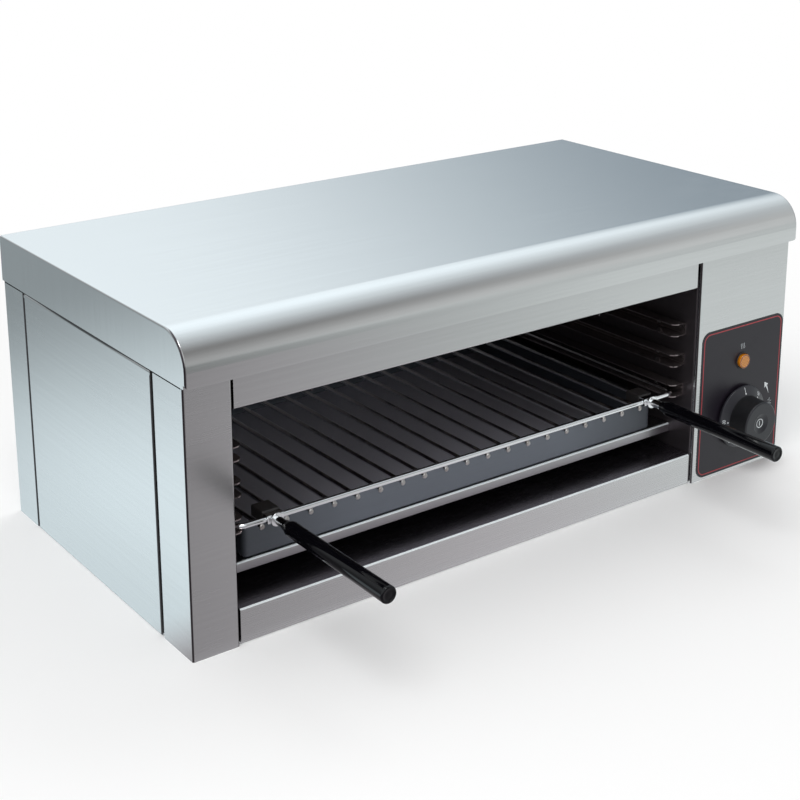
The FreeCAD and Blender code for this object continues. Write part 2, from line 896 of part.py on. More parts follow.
def make_hanger(x):
    """A hanger under the ceiling, with a hole for every leg of the elements."""
    y_from = front + element_depths[0] - element_half_span - hanger_margin
    y_to = front + element_depths[-1] + element_half_span + hanger_margin
    line = [
        Vector(x, y_from, hanger_bottom),
        Vector(x, y_from, ceiling_underside),
        Vector(x - hanger_flange, y_from, ceiling_underside),
    ]
    hanger = folded_sheet(line, -north, north * (y_to - y_from), hanger_thickness)
    cutters = []
    for depth in element_depths:
        for y in element_legs(depth):
            start = Vector(x - 2 * overrun, y, element_height)
            cutters.append(bar(start, east, 3 * overrun, element_radius + hanger_clearance))
    return hanger.cut(cutters)


# Thermostat and sensor

def bracket_screw_places():
    """The two screws of the thermostat's bracket, in X."""
    return (knob_axis_x - bracket_screw_offset, knob_axis_x + bracket_screw_offset)


def thermostat_shaft(radius, flat_gap):
    """The shaft with its flat, or a larger copy of it that cuts its seat in the knob."""
    y_from = front - shaft_reach
    y_to = bracket_back + shaft_engagement
    shaft = bar(Vector(knob_axis_x, y_from, knob_height), north, y_to - y_from, radius)
    flat_z = knob_height + shaft_radius - shaft_flat + flat_gap
    x_span = (knob_axis_x - 2 * radius, knob_axis_x + 2 * radius)
    flat = box(x_span, (y_from - overrun, knob_back), (flat_z, knob_height + 2 * radius))
    return shaft.cut(flat)


def make_thermostat():
    """The thermostat: bracket, case and the bush that its shaft turns in."""
    x = knob_axis_x
    bracket = box((x - bracket_half_width, x + bracket_half_width), (panel_inside, bracket_back),
                  (knob_height - bracket_half_height, knob_height + bracket_half_height))
    case = box((x - thermostat_half_width, x + thermostat_half_width),
               (bracket_back, bracket_back + thermostat_depth),
               (knob_height - thermostat_half_height, knob_height + thermostat_half_height))
    bush = bar(Vector(x, front, knob_height), north, sheet * 2, bush_radius)
    body = fuse_all([bracket, case, bush])
    cutters = [bar(Vector(x, front - overrun, knob_height), north,
                   bracket_back + shaft_engagement + shaft_clearance - front + overrun,
                   shaft_radius + shaft_clearance)]
    for screw_x in bracket_screw_places():
        cutters.append(bar(Vector(screw_x, front, knob_height), north, screw_length, screw_radius))
    return body.cut(cutters)


def make_thermostat_screws():
    """The two screws that hold the bracket, with their heads under the knob."""
    screws = []
    for x in bracket_screw_places():
        head = bar(Vector(x, front, knob_height), -north, screw_head_height, screw_head_radius)
        shank = bar(Vector(x, front, knob_height), north, screw_length, screw_radius)
        screws.append(fuse_all([head, shank]))
    return Part.makeCompound(screws)


def make_bulb():
    """The sensing bulb under the cavity's ceiling."""
    start = Vector(bulb_end - bulb_length, bulb_y, bulb_level)
    bulb = bar(start, east, bulb_length, bulb_radius)
    return bulb.makeFillet(bulb_radius / 3, bulb.Edges)


def make_bulb_clips():
    """Two clips that hang the bulb from the ceiling."""
    clips = []
    ring_radius = bulb_radius + clip_thickness
    for share in clip_place_shares:
        x = bulb_end - bulb_length * share - clip_width / 2
        ring = bar(Vector(x, bulb_y, bulb_level), east, clip_width, ring_radius)
        tab = box((x, x + clip_width), (bulb_y + bulb_radius, bulb_y + ring_radius),
                  (bulb_level, ceiling_underside))
        clip = fuse_all([ring, tab])
        clips.append(clip.cut(bar(Vector(x - overrun, bulb_y, bulb_level), east,
                                  clip_width + 2 * overrun, bulb_radius)))
    return Part.makeCompound(clips)


def make_capillary():
    """The thin tube from the bulb, through the right wall, down to the thermostat."""
    case_middle = bracket_back + thermostat_depth / 2
    case_top = knob_height + thermostat_half_height
    entry_x = knob_axis_x - capillary_entry
    points = [
        Vector(bulb_end, bulb_y, bulb_level),
        Vector(cavity_right + capillary_run, bulb_y, bulb_level),
        Vector(entry_x, case_middle, bulb_level - capillary_fall),
        Vector(entry_x, case_middle, case_top),
    ]
    corners = [(points[0], 0), (points[1], capillary_bend), (points[2], capillary_bend), (points[3], 0)]
    return tube_along(rounded_wire(corners, closed=False), capillary_radius)


def make_knob():
    """The knob: a sloped skirt, a long hub and a dished face, bored for the shaft's flat."""
    skirt_front = knob_back - skirt_rim
    hub_back = skirt_front - skirt_slope
    face = hub_back - hub_length
    knob = turned([
        (0, knob_back, 0),
        (skirt_radius, knob_back, skirt_rim / 3),
        (skirt_radius, skirt_front, skirt_rim / 3),
        (hub_base_radius, hub_back, 0),
        (hub_radius, face, hub_round),
        (dish_radius, face, 0),
        (dish_radius * dish_ring_share, face + dish_depth * dish_ring_depth_share, 0),
        (0, face + dish_depth, 0),
    ], knob_axis_x, knob_height)
    return knob.cut(thermostat_shaft(shaft_radius + shaft_clearance, shaft_clearance))


# Lamp and label

def make_lens():
    """The round lens of the indicator lamp."""
    y_back = front - label_thickness
    y_rim = y_back - lens_length
    return turned([
        (0, y_back, 0),
        (lens_radius, y_back, 0),
        (lens_radius, y_rim, lens_dome),
        (0, y_rim - lens_dome, 0),
    ], knob_axis_x, lamp_height)


def make_lamp_body():
    """The lamp's threaded stem and case behind the panel, with two tabs."""
    y_from = front - label_thickness
    start = Vector(knob_axis_x, y_from, lamp_height)
    stem = bar(start, north, lamp_stem_length, lamp_stem_radius)
    case_start = Vector(knob_axis_x, y_from + lamp_stem_length, lamp_height)
    case = bar(case_start, north, lamp_body_length, lamp_body_radius)
    tabs = []
    y_end = y_from + lamp_stem_length + lamp_body_length
    for side in (-1, 1):
        x = knob_axis_x + side * lamp_body_radius / 2
        tabs.append(box((x - sheet / 2, x + sheet / 2), (y_end, y_end + 2 * lamp_nut_height),
                        (lamp_height - pin_radius, lamp_height + pin_radius)))
    return fuse_all([stem, case] + tabs)


def make_lamp_nut():
    """The nut that holds the lamp against the inside of the panel."""
    centre = Vector(knob_axis_x, panel_inside, lamp_height)
    return hexagon_bar(centre, north, lamp_nut_radius, lamp_nut_height, lamp_stem_radius)


def make_label():
    """The control label: a thin plate with rounded corners, open round the lamp and the shaft."""
    x_to = right - label_side_margin
    x_from = x_to - label_width
    corners = []
    for x, z in ((x_from, label_bottom), (x_to, label_bottom), (x_to, label_top), (x_from, label_top)):
        corners.append((Vector(x, front - label_thickness, z), label_corner_radius))
    plate = Part.Face(rounded_wire(corners)).extrude(north * label_thickness)
    cutters = []
    for z, radius in ((lamp_height, lamp_stem_radius), (knob_height, label_window_radius)):
        cutters.append(bar(Vector(knob_axis_x, front - overrun, z), north, 2 * overrun, radius))
    return plate.cut(cutters)


# Mains inlet

def make_cable_gland():
    """The gland in the back panel: thread, hexagon and a bored dome."""
    x = right - gland_inset
    seat = Vector(x, back, gland_height)
    hexagon = hexagon_bar(seat, north, gland_hex_radius, gland_hex_height)
    dome = bar(seat, north, gland_hex_height + gland_dome_length, gland_dome_radius)
    rim = [edge for edge in dome.Edges if edge.BoundBox.YMin > back + gland_hex_height]
    dome = dome.makeFillet(gland_dome_radius / 3, rim)
    thread = bar(seat, -north, gland_thread_length, gland_thread_radius)
    bore = bar(Vector(x, back - 4 * overrun, gland_height), north,
               8 * overrun + gland_dome_length, gland_bore_radius)
    return fuse_all([hexagon, dome, thread]).cut(bore)


def make_gland_nut():
    """The gland's locknut inside the back panel."""
    centre = Vector(right - gland_inset, back - sheet, gland_height)
    return hexagon_bar(centre, -north, gland_hex_radius, gland_nut_height, gland_thread_radius)


def make_terminal_block():
    """The terminal block on the base, with a screw well and a wire hole for each pole."""
    x_from = knob_axis_x - terminal_length / 2
    y_from = back - terminal_back_gap - terminal_depth
    top = sheet + terminal_height
    block = box((x_from, x_from + terminal_length), (y_from, y_from + terminal_depth), (sheet, top))
    cutters = []
    pitch = terminal_length / terminal_count
    for index in range(terminal_count):
        x = x_from + pitch * (index + 0.5)
        well = Vector(x, y_from + terminal_depth / 2, top - terminal_screw_depth)
        cutters.append(bar(well, up, 2 * terminal_screw_depth, terminal_hole_radius))
        wire_hole = Vector(x, y_from - overrun, sheet + terminal_height / 3)
        cutters.append(bar(wire_hole, north, terminal_depth + 2 * overrun, terminal_hole_radius))
    return block.cut(cutters)


# Outside screws

def lid_screw_level():
    """The height of the screws through the lid's back skirt."""
    return casing_height - lid_screw_drop


def lid_screw_places():
    """The screws of the lid's back skirt, in X."""
    return spread(left + lid_screw_margin, right - lid_screw_margin, lid_screw_count)


def base_screw_places():
    """The screws along the back panel's foot, in X."""
    return spread(left + lid_screw_margin, right - lid_screw_margin, base_screw_count)


def pan_screw(x, y, z):
    """A pan-head screw from the back, its head on the given plane."""
    head = bar(Vector(x, y, z), north, outside_head_height, outside_head_radius)
    rim = [edge for edge in head.Edges if edge.BoundBox.YMin > y + touching]
    head = head.makeFillet(outside_head_height / 2, rim)
    shank = bar(Vector(x, y, z), -north, screw_length, screw_radius)
    return fuse_all([head, shank])


def make_lid_screws():
    """The screws that hold the lid to the back panel."""
    skirt_face = back + lid_side_reach
    return Part.makeCompound([pan_screw(x, skirt_face, lid_screw_level()) for x in lid_screw_places()])


def make_base_screws():
    """The screws that hold the back panel to the base."""
    return Part.makeCompound([pan_screw(x, back, base_screw_height) for x in base_screw_places()])


def casing_nodes():
    """The casing's sheets."""
    return {
        "lid": make_lid(),
        "left_post": front_column(left, opening_left),
        "control_panel": make_control_panel(),
        "left_side_panel": side_panel(left, 1),
        "right_side_panel": side_panel(right, -1),
        "back_panel": make_back_panel(),
        "upper_front_strip": make_upper_strip(),
        "lower_shelf": make_lower_shelf(),
        "bottom_pan": make_bottom_pan(),
        "lid_screws": make_lid_screws(),
        "base_screws": make_base_screws(),
    }


def cavity_nodes():
    """The cavity's walls, its deck and ceiling, and the runners."""
    nodes = {
        "cavity_left_wall": cavity_side_wall(cavity_left, 1),
        "cavity_right_wall": make_right_wall(),
        "cavity_back_wall": make_cavity_back(),
        "cavity_ceiling": flanged_plate(cavity_ceiling, strip_front + upper_strip_return, lip),
        "cavity_deck": make_deck(),
        "top_insulation": make_insulation(),
        "runner_rivets": make_runner_rivets(),
    }
    for level, bottom in zip(runner_levels, runner_bottoms()):
        nodes["left_runner_" + level] = make_runner(cavity_left, 1, bottom)
        nodes["right_runner_" + level] = make_runner(cavity_right, -1, bottom)
    return nodes


def moving_nodes():
    """The rack with its handles, and the drip tray."""
    nodes = {
        "rack_frame": make_rack_frame(),
        "rack_cross_wires": make_cross_wires(),
        "drip_tray": make_drip_tray(),
    }
    for side, offset in (("left", -handle_offset), ("right", handle_offset)):
        x = cavity_centre + offset
        nodes[side + "_handle_strap"] = handle_strap(x)
        nodes[side + "_handle_block"] = handle_block(x)
        nodes[side + "_handle_stud"] = handle_stud(x)
        nodes[side + "_handle_grip"] = handle_grip(x)
    return nodes


def heating_nodes():
    """The elements, their fixings and the sensor."""
    nodes = {
        "element_nuts": make_element_nuts(),
        "element_terminals": make_element_terminals(),
        "left_element_hanger": make_hanger(cavity_left + hanger_inset),
        "right_element_hanger": make_hanger(cavity_right - hanger_inset),
        "sensing_bulb": make_bulb(),
        "bulb_clips": make_bulb_clips(),
        "sensor_capillary": make_capillary(),
    }
    for name, depth in zip(("front", "middle", "back"), element_depths):
        nodes["heating_element_" + name] = make_element(depth)
    return nodes


def control_nodes():
    """The controls and the mains inlet."""
    return {
        "thermostat_body": make_thermostat(),
        "thermostat_screws": make_thermostat_screws(),
        "thermostat_shaft": thermostat_shaft(shaft_radius, 0),
        "control_knob": make_knob(),
        "indicator_lens": make_lens(),
        "indicator_body": make_lamp_body(),
        "indicator_nut": make_lamp_nut(),
        "control_label": make_label(),
        "cable_gland": make_cable_gland(),
        "gland_locknut": make_gland_nut(),
        "terminal_block": make_terminal_block(),
    }


def main():
    """Build every node and write it as its own STEP file."""
    os.makedirs("parts", exist_ok=True)
    nodes = {}
    for group in (casing_nodes, cavity_nodes, moving_nodes, heating_nodes, control_nodes):
        nodes.update(group())
    for name, shape in nodes.items():
        valid = shape.isValid() and all(solid.isClosed() for solid in shape.Solids)
        if not valid or not shape.Solids:
            print("not a sound solid:", name)
        shape.exportStep(os.path.join("parts", name + ".step"))
    print(len(nodes), "nodes written")


main()
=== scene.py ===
# %% [markdown]
# # A countertop cheese melter
#
# This lesson dresses a kitchen appliance whose solid parts already exist: a folded steel casing, a chromed
# wire rack with two long handles, a drip tray and a control panel. The solids are loaded as a fixed frame.
# Every solid keeps its place, gets a finish of its own, and a few thin details are laid on top.

# %% Load the frame
import json
import math

import bmesh
import bpy
import numpy as np
from mathutils import Matrix, Vector


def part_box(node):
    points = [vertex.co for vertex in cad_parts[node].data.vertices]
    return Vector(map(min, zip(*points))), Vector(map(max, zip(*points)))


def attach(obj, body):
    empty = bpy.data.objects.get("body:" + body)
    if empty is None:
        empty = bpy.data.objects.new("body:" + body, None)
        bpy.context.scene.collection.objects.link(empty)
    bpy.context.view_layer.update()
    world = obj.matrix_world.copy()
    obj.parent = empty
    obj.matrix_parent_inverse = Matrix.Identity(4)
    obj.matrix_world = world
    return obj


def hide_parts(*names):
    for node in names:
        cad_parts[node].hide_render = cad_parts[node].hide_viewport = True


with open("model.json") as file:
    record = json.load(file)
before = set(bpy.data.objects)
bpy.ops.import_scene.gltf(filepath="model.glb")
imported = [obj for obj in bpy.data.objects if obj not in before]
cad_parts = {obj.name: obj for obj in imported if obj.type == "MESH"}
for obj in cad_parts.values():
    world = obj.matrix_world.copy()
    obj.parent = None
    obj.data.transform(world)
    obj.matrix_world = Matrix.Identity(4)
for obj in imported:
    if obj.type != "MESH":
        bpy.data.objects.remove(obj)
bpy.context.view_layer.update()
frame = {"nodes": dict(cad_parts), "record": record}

# %% [markdown]
# ## The camera
#
# A product photographer stands to the left and above the appliance, points the camera a little less steeply
# than the appliance would need, and shifts the lens down, which keeps the upright edges nearly upright. A
# camera object does the same with `shift_y`. The shift stays moderate, so that the appliance is still in the
# picture when the camera is moved round it. The angles are turned into a rotation by hand, so that nothing
# here depends on the picture's size.

# %% Camera
camera_place = Vector((-0.9949, -1.3253, 0.7633))
camera_azimuth = math.radians(-35.689)
camera_elevation = math.radians(15.31)
camera_roll = math.radians(-0.28)
camera_lens = 69.56  # millimetres, on a sensor that is 36 mm wide
camera_shift = (0.0234, -0.22)  # right and down, in widths of the picture


def camera_turn(azimuth, elevation, roll):
    """The rotation whose Z axis points back from the object: azimuth round Z, elevation up, then roll."""
    back = Vector((math.sin(azimuth) * math.cos(elevation),
                   -math.cos(azimuth) * math.cos(elevation),
                   math.sin(elevation)))
    right = Vector((0, 0, 1)).cross(back).normalized()
    top = back.cross(right)
    turned_right = right * math.cos(roll) + top * math.sin(roll)
    turned_top = top * math.cos(roll) - right * math.sin(roll)
    return Matrix((turned_right, turned_top, back)).transposed()


camera_data = bpy.data.cameras.new("camera")
camera_data.sensor_width = 36
camera_data.lens = camera_lens
camera_data.shift_x, camera_data.shift_y = camera_shift
camera = bpy.data.objects.new("camera", camera_data)
camera.matrix_world = Matrix.Translation(camera_place) @ camera_turn(
    camera_azimuth, camera_elevation, camera_roll).to_4x4()
bpy.context.collection.objects.link(camera)
bpy.context.scene.camera = camera
bpy.context.scene.view_settings.view_transform = "Standard"
print("camera at", [round(value, 3) for value in camera_place], "lens", camera_lens)

# %% [markdown]
# ## Light, backdrop and floor
#
# Brushed steel has hardly any colour of its own: it shows a blurred picture of the room. A single flat world
# would leave it dull, so rays that come off the metal see a studio: bright softboxes overhead, a dim room
# behind the photographer and a pale wall behind the object. Every other ray sees a plain even light, at
# which a paint renders about as it is written, and the camera sees white.

# %% Node helpers


def add_node(tree, kind, **sockets):
    """A node of a kind, with its input sockets set to values or linked to outputs."""
    node = tree.nodes.new(kind)
    for name, value in sockets.items():
        wire(tree, value, node.inputs[name.replace("_", " ")])
    return node


def wire(tree, value, socket):
    """Links an output to a socket, or sets the socket to a plain value."""
    if isinstance(value, bpy.types.NodeSocket):
        tree.links.new(value, socket)
    else:
        socket.default_value = value


def sum_up(tree, operation, *values, clamp=False):
    """A math node on up to three values."""
    node = tree.nodes.new("ShaderNodeMath")
    node.operation = operation
    node.use_clamp = clamp
    for socket, value in zip(node.inputs, values):
        wire(tree, value, socket)
    return node.outputs[0]


def between(tree, share, first, second):
    """From the first value to the second, by a share."""
    return sum_up(tree, "MULTIPLY_ADD", share, sum_up(tree, "SUBTRACT", second, first), first)


def rescale(tree, value, low, high, new_low=0.0, new_high=1.0, smooth=True):
    """A value moved from one range to another, and held at its ends."""
    node = tree.nodes.new("ShaderNodeMapRange")
    node.interpolation_type = "SMOOTHSTEP" if smooth else "LINEAR"
    for name, number in (("Value", value), ("From Min", low), ("From Max", high),
                         ("To Min", new_low), ("To Max", new_high)):
        wire(tree, number, node.inputs[name])
    return node.outputs["Result"]


def blend_colours(tree, share, first, second, mode="MIX"):
    """Two colours mixed, added or multiplied by a share."""
    node = tree.nodes.new("ShaderNodeMix")
    node.data_type = "RGBA"
    node.blend_type = mode
    wire(tree, share, node.inputs["Factor"])
    wire(tree, first, node.inputs[6])
    wire(tree, second, node.inputs[7])
    return node.outputs[2]


def axes_of(tree, kind, output):
    """The X, Y and Z of a vector that a node of a kind gives, such as a place or a normal."""
    split = add_node(tree, "ShaderNodeSeparateXYZ", Vector=add_node(tree, kind).outputs[output])
    return [split.outputs[axis] for axis in "XYZ"]


def mix_shaders(tree, share, first, second):
    """Two shaders mixed by a share."""
    node = tree.nodes.new("ShaderNodeMixShader")
    for socket, value in zip(node.inputs, (share, first, second)):
        wire(tree, value, socket)
    return node.outputs[0]


def seen_by_metal(tree):
    """One for a ray that comes off metal or through a clear part, and nothing for any other."""
    rays = add_node(tree, "ShaderNodeLightPath").outputs
    return sum_up(tree, "ADD", rays["Is Glossy Ray"], rays["Is Transmission Ray"], clamp=True)


# %% World
studio_dim = 0.25  # what metal sees where no light is
plain_light = 0.62  # what every other surface gets from all around
just_below_one = 0.99999  # an arc cosine has no value past one
# Each light: azimuth from +Y towards +X, elevation, inner and outer angle in degrees, level and colour.
studio_lights = {
    "overhead": (38, 47, 8, 75, 1.13, (0.88, 1.0, 1.06)),
    "backdrop": (10, 20, 10, 35, 0.22, (0.90, 1.0, 1.04)),
    "right wall": (118, -10, 26, 50, 0.50, (0.95, 1.0, 1.0)),
    "left wall": (-90, 35, 20, 55, 0.90, (0.92, 1.0, 1.04)),
    "front wall": (-160, 30, 15, 38, 0.80, (0.95, 1.0, 1.02)),
    "ceiling lamp": (-170, 68, 5, 12, 9.0, (1.0, 1.0, 1.0)),
}
# A dark card stands behind on the right: the same four angles, and the light that it lets by.
dark_card = (75, -25, 47, 61, (0.32, 0.36, 0.40))


def pointing(azimuth, elevation):
    """The unit vector at an azimuth from +Y towards +X and an elevation, in degrees."""
    turn, rise = math.radians(azimuth), math.radians(elevation)
    return (math.sin(turn) * math.cos(rise), math.cos(turn) * math.cos(rise), math.sin(rise))


def sky_patch(tree, direction, azimuth, elevation, inner, outer):
    """A round patch in the sky: one inside one angle from its centre, nothing past the other."""
    closeness = tree.nodes.new("ShaderNodeVectorMath")
    closeness.operation = "DOT_PRODUCT"
    wire(tree, direction, closeness.inputs[0])
    closeness.inputs[1].default_value = pointing(azimuth, elevation)
    angle = sum_up(tree, "ARCCOSINE", sum_up(tree, "MINIMUM", closeness.outputs["Value"], just_below_one))
    return rescale(tree, angle, math.radians(inner), math.radians(outer), 1.0, 0.0, smooth=False)


world = bpy.data.worlds.new("studio")
bpy.context.scene.world = world
world.use_nodes = True
sky = world.node_tree
sky.nodes.clear()
direction = add_node(sky, "ShaderNodeTexCoord").outputs["Generated"]
studio_light = (studio_dim, studio_dim, studio_dim, 1)
for azimuth, elevation, inner, outer, level, colour in studio_lights.values():
    patch = sky_patch(sky, direction, azimuth, elevation, inner, outer)
    studio_light = blend_colours(sky, patch, studio_light, (*(level * c for c in colour), 1), "ADD")
card = sky_patch(sky, direction, *dark_card[:4])
studio_light = blend_colours(sky, card, studio_light, (*dark_card[4], 1), "MULTIPLY")
room = add_node(sky, "ShaderNodeBackground", Color=studio_light, Strength=1.0)
plain = add_node(sky, "ShaderNodeBackground", Color=(1, 1, 1, 1), Strength=plain_light)
white = add_node(sky, "ShaderNodeBackground", Color=(1, 1, 1, 1), Strength=1.0)
camera_ray = add_node(sky, "ShaderNodeLightPath").outputs["Is Camera Ray"]
lit = mix_shaders(sky, seen_by_metal(sky), plain.outputs[0], room.outputs[0])
seen = mix_shaders(sky, camera_ray, lit, white.outputs[0])
wire(sky, seen, add_node(sky, "ShaderNodeOutputWorld").inputs[0])
print("studio lights:", len(studio_lights))

# %% Lamps
lamp_target = (0, 0, 0.1)
lamps = {"key": ((-1.4, -1.0, 2.6), 1.6, 38.0), "fill": ((1.6, 0.8, 2.4), 1.8, 20.0)}  # place, size, power


def softbox(name, place, target, size, power):
    """A square area lamp at a place, facing a target. Metal doesn't see it: the world has its own lights."""
    data = bpy.data.lights.new(name, "AREA")
    data.shape = "SQUARE"
    data.size = size
    data.energy = power
    lamp = bpy.data.objects.new(name, data)
    away = (Vector(place) - Vector(target)).normalized()
    lamp.matrix_world = Matrix.Translation(place) @ away.to_track_quat("Z", "Y").to_matrix().to_4x4()
    lamp.visible_glossy = False
    bpy.context.collection.objects.link(lamp)


for name, (place, size, power) in lamps.items():
    softbox(name, place, lamp_target, size, power)
print("lamps:", len(lamps))

# %% Floor
floor_half = 30.0
floor_mesh = bpy.data.meshes.new("floor")
floor_mesh.from_pydata([(-floor_half, -floor_half, 0), (floor_half, -floor_half, 0),
                        (floor_half, floor_half, 0), (-floor_half, floor_half, 0)], [], [(0, 1, 2, 3)])
floor = bpy.data.objects.new("floor", floor_mesh)
bpy.context.collection.objects.link(floor)
floor_finish = bpy.data.materials.new("floor")
floor_finish.use_nodes = True
floor.data.materials.append(floor_finish)
print("floor:", 2 * floor_half, "m wide")

# %% How metal sees the floor
# Metal sees the floor as a glowing sheet whose levels are painted light and shade. Metal in front sees it
# brighten to the right and dim far out. Metal at the sides sees it fade backwards.
front_levels = (0.26, 0.91)  # left and right
far_front_level = 0.76
side_levels = (1.22, 0.38)  # near and far back
near_side_level = 0.85
tree = floor_finish.node_tree
tree.nodes.clear()
x, y, _ = axes_of(tree, "ShaderNodeTexCoord", "Object")
ahead = rescale(tree, y, -0.10, -0.22)
slant = sum_up(tree, "MULTIPLY_ADD", sum_up(tree, "ADD", y, 0.24), 0.5, x)
rightward = rescale(tree, slant, -0.555, 0.445, *front_levels, smooth=False)
front_view = sum_up(tree, "MULTIPLY", rightward, rescale(tree, y, -0.78, -0.90, 1.0, far_front_level))
backward = rescale(tree, y, 0.10, 0.95, *side_levels)
side_view = sum_up(tree, "MULTIPLY", backward, rescale(tree, x, -0.55, -0.40, 1.0, near_side_level))
metal_view = between(tree, ahead, side_view, front_view)
front_colour = blend_colours(tree, rescale(tree, x, -0.10, 0.45), (1.02, 0.99, 1.03, 1),
                             (0.94, 1.0, 1.0, 1))
metal_colour = blend_colours(tree, ahead, (0.87, 1.0, 1.05, 1), front_colour)
# Painted reflection: for rays off metal the floor glows at these levels.
floor_glow_for_metal = add_node(tree, "ShaderNodeEmission", Color=metal_colour, Strength=metal_view)
print("floor levels:", front_levels, side_levels)

# %% How the camera sees the floor
# It is pale paint that takes the shadow, and further out it blends into the white background.
shadow_reach = (0.5, 1.3)  # metres from the middle: the end of the paint, the start of the white
far = sum_up(tree, "SQRT", sum_up(tree, "MULTIPLY_ADD", x, x, sum_up(tree, "MULTIPLY", y, y)))
pale = add_node(tree, "ShaderNodeBsdfDiffuse", Color=(0.93, 0.93, 0.93, 1))
bright = add_node(tree, "ShaderNodeEmission", Color=(1, 1, 1, 1), Strength=1.0)
whiteness = rescale(tree, far, *shadow_reach)
near_far = mix_shaders(tree, whiteness, pale.outputs[0], bright.outputs[0])
floor_shader = mix_shaders(tree, seen_by_metal(tree), near_far, floor_glow_for_metal.outputs[0])
wire(tree, floor_shader, add_node(tree, "ShaderNodeOutputMaterial").inputs[0])
print("the floor turns white over", shadow_reach, "m")

# %% [markdown]
# ## Shared effects
#
# Brushing, smudges and the folds' painted light and shade recur in several finishes, so each is a node group
# built once.
# The brushing runs along X on the front and the top, and along Y on the sides, or upwards there where Side
# Turn is one. So the group looks at which way the surface faces before it stretches its noise.

# %% Groups
side_limit = 0.7  # a surface faces sideways when its normal's X is past this
band_scale = 0.12  # how coarse the wide bands are beside the fine streaks
rim_half = 0.0003  # half the soft rim of a zone, in metres


def new_group(name, inputs, outputs):
    """An empty shader group with named inputs, each with its usual value, and named outputs."""
    group = bpy.data.node_groups.new(name, "ShaderNodeTree")
    for label, default in inputs:
        socket = group.interface.new_socket(name=label, in_out="INPUT", socket_type="NodeSocketFloat")
        socket.default_value = default
    for label in outputs:
        group.interface.new_socket(name=label, in_out="OUTPUT", socket_type="NodeSocketFloat")
    return group, group.nodes.new("NodeGroupInput"), group.nodes.new("NodeGroupOutput")


def noise(tree, vector, scale, detail=3.0, roughness=0.55):
    """Noise of a scale, as a value from 0 to 1."""
    node = add_node(tree, "ShaderNodeTexNoise", Vector=vector, Scale=scale, Detail=detail,
                    Roughness=roughness)
    return node.outputs["Fac"]


def make_brushing():
    """Fine parallel scratches: noise that is stretched along the brushing and squeezed across it."""
    group, given, result = new_group(
        "brushing", [("Along", 22.0), ("Across", 2400.0), ("Side Turn", 0.0)], ["Streak", "Band"])
    x, y, z = axes_of(group, "ShaderNodeTexCoord", "Object")
    normal_x, _, _ = axes_of(group, "ShaderNodeNewGeometry", "True Normal")
    on_side = sum_up(group, "GREATER_THAN", sum_up(group, "ABSOLUTE", normal_x), side_limit)
    turn = given.outputs["Side Turn"]
    side_along = between(group, turn, y, z)
    side_across = between(group, turn, z, y)
    along = between(group, on_side, x, side_along)
    across = between(group, on_side, sum_up(group, "ADD", y, z), side_across)
    fine = add_node(group, "ShaderNodeCombineXYZ",
                    X=sum_up(group, "MULTIPLY", along, given.outputs["Along"]),
                    Y=sum_up(group, "MULTIPLY", across, given.outputs["Across"]), Z=on_side)
    wide = add_node(group, "ShaderNodeVectorMath", Vector=fine.outputs[0])
    wide.operation = "SCALE"
    wide.inputs["Scale"].default_value = band_scale
    wire(group, noise(group, fine.outputs[0], 1.0, 4.0, 0.65), result.inputs["Streak"])
    wire(group, noise(group, wide.outputs[0], 1.0, 2.0, 0.5), result.inputs["Band"])
    return group


def make_smudges():
    """Cloudy handling marks: two sizes of noise, the larger deciding where the smaller shows."""
    group, given, result = new_group("smudges", [("Size", 6.0)], ["Mask"])
    place = add_node(group, "ShaderNodeTexCoord").outputs["Object"]
    cloud = noise(group, place, given.outputs["Size"], 2.0, 0.5)
    detail = noise(group, place, sum_up(group, "MULTIPLY", given.outputs["Size"], 7.0), 4.0, 0.6)
    where = rescale(group, cloud, 0.42, 0.66)
    wire(group, sum_up(group, "MULTIPLY", where, rescale(group, detail, 0.3, 0.75)),
         result.inputs["Mask"])
    return group


def make_folds():
    """Three masks from the normal, for painted light and shade: level folds at the front, upright corners
    there, and what faces up.
    """
    group, _, result = new_group("folds", [], ["Mask", "Corner", "Top"])
    normal_x, normal_y, normal_z = axes_of(group, "ShaderNodeNewGeometry", "Normal")
    up = rescale(group, normal_z, 0.12, 0.40)
    forward = rescale(group, normal_y, -0.12, -0.40)
    wire(group, sum_up(group, "MULTIPLY", up, forward), result.inputs["Mask"])
    sideways = sum_up(group, "ABSOLUTE", normal_x)
    turning = sum_up(group, "MULTIPLY", rescale(group, sideways, 0.20, 0.45),
                     rescale(group, sideways, 0.985, 0.93))
    to_front = rescale(group, normal_y, -0.10, -0.30)
    wire(group, sum_up(group, "MULTIPLY", turning, to_front), result.inputs["Corner"])
    wire(group, rescale(group, normal_z, 0.90, 0.97), result.inputs["Top"])
    return group


def make_zones():
    """A disc about an axis along Y: one inside a radius and nothing outside it, with a soft rim."""
    group, given, result = new_group("zones", [("Centre X", 0.0), ("Centre Z", 0.0), ("Radius", 0.01)],
                                     ["Inside"])
    x, _, z = axes_of(group, "ShaderNodeTexCoord", "Object")
    dx = sum_up(group, "SUBTRACT", x, given.outputs["Centre X"])
    dz = sum_up(group, "SUBTRACT", z, given.outputs["Centre Z"])
    away = sum_up(group, "SQRT", sum_up(group, "MULTIPLY_ADD", dx, dx, sum_up(group, "MULTIPLY", dz, dz)))
    past = sum_up(group, "SUBTRACT", away, given.outputs["Radius"])
    wire(group, rescale(group, past, -rim_half, rim_half, 1.0, 0.0), result.inputs["Inside"])
    return group


brushing = make_brushing()
smudges = make_smudges()
folds = make_folds()
zones = make_zones()
print("groups:", len(bpy.data.node_groups))


def use_group(tree, group, **values):
    """A group placed in a material, with its own values."""
    node = tree.nodes.new("ShaderNodeGroup")
    node.node_tree = group
    for name, value in values.items():
        wire(tree, value, node.inputs[name.replace("_", " ")])
    return node


# %% [markdown]
# ## Finishes
#
# Each finish is one material. A metal is a mirror with a tint, blurred by its roughness, so most of its
# character sits in how the roughness and the tiny bumps change from place to place.

# %% Finish helpers
finishes = {}


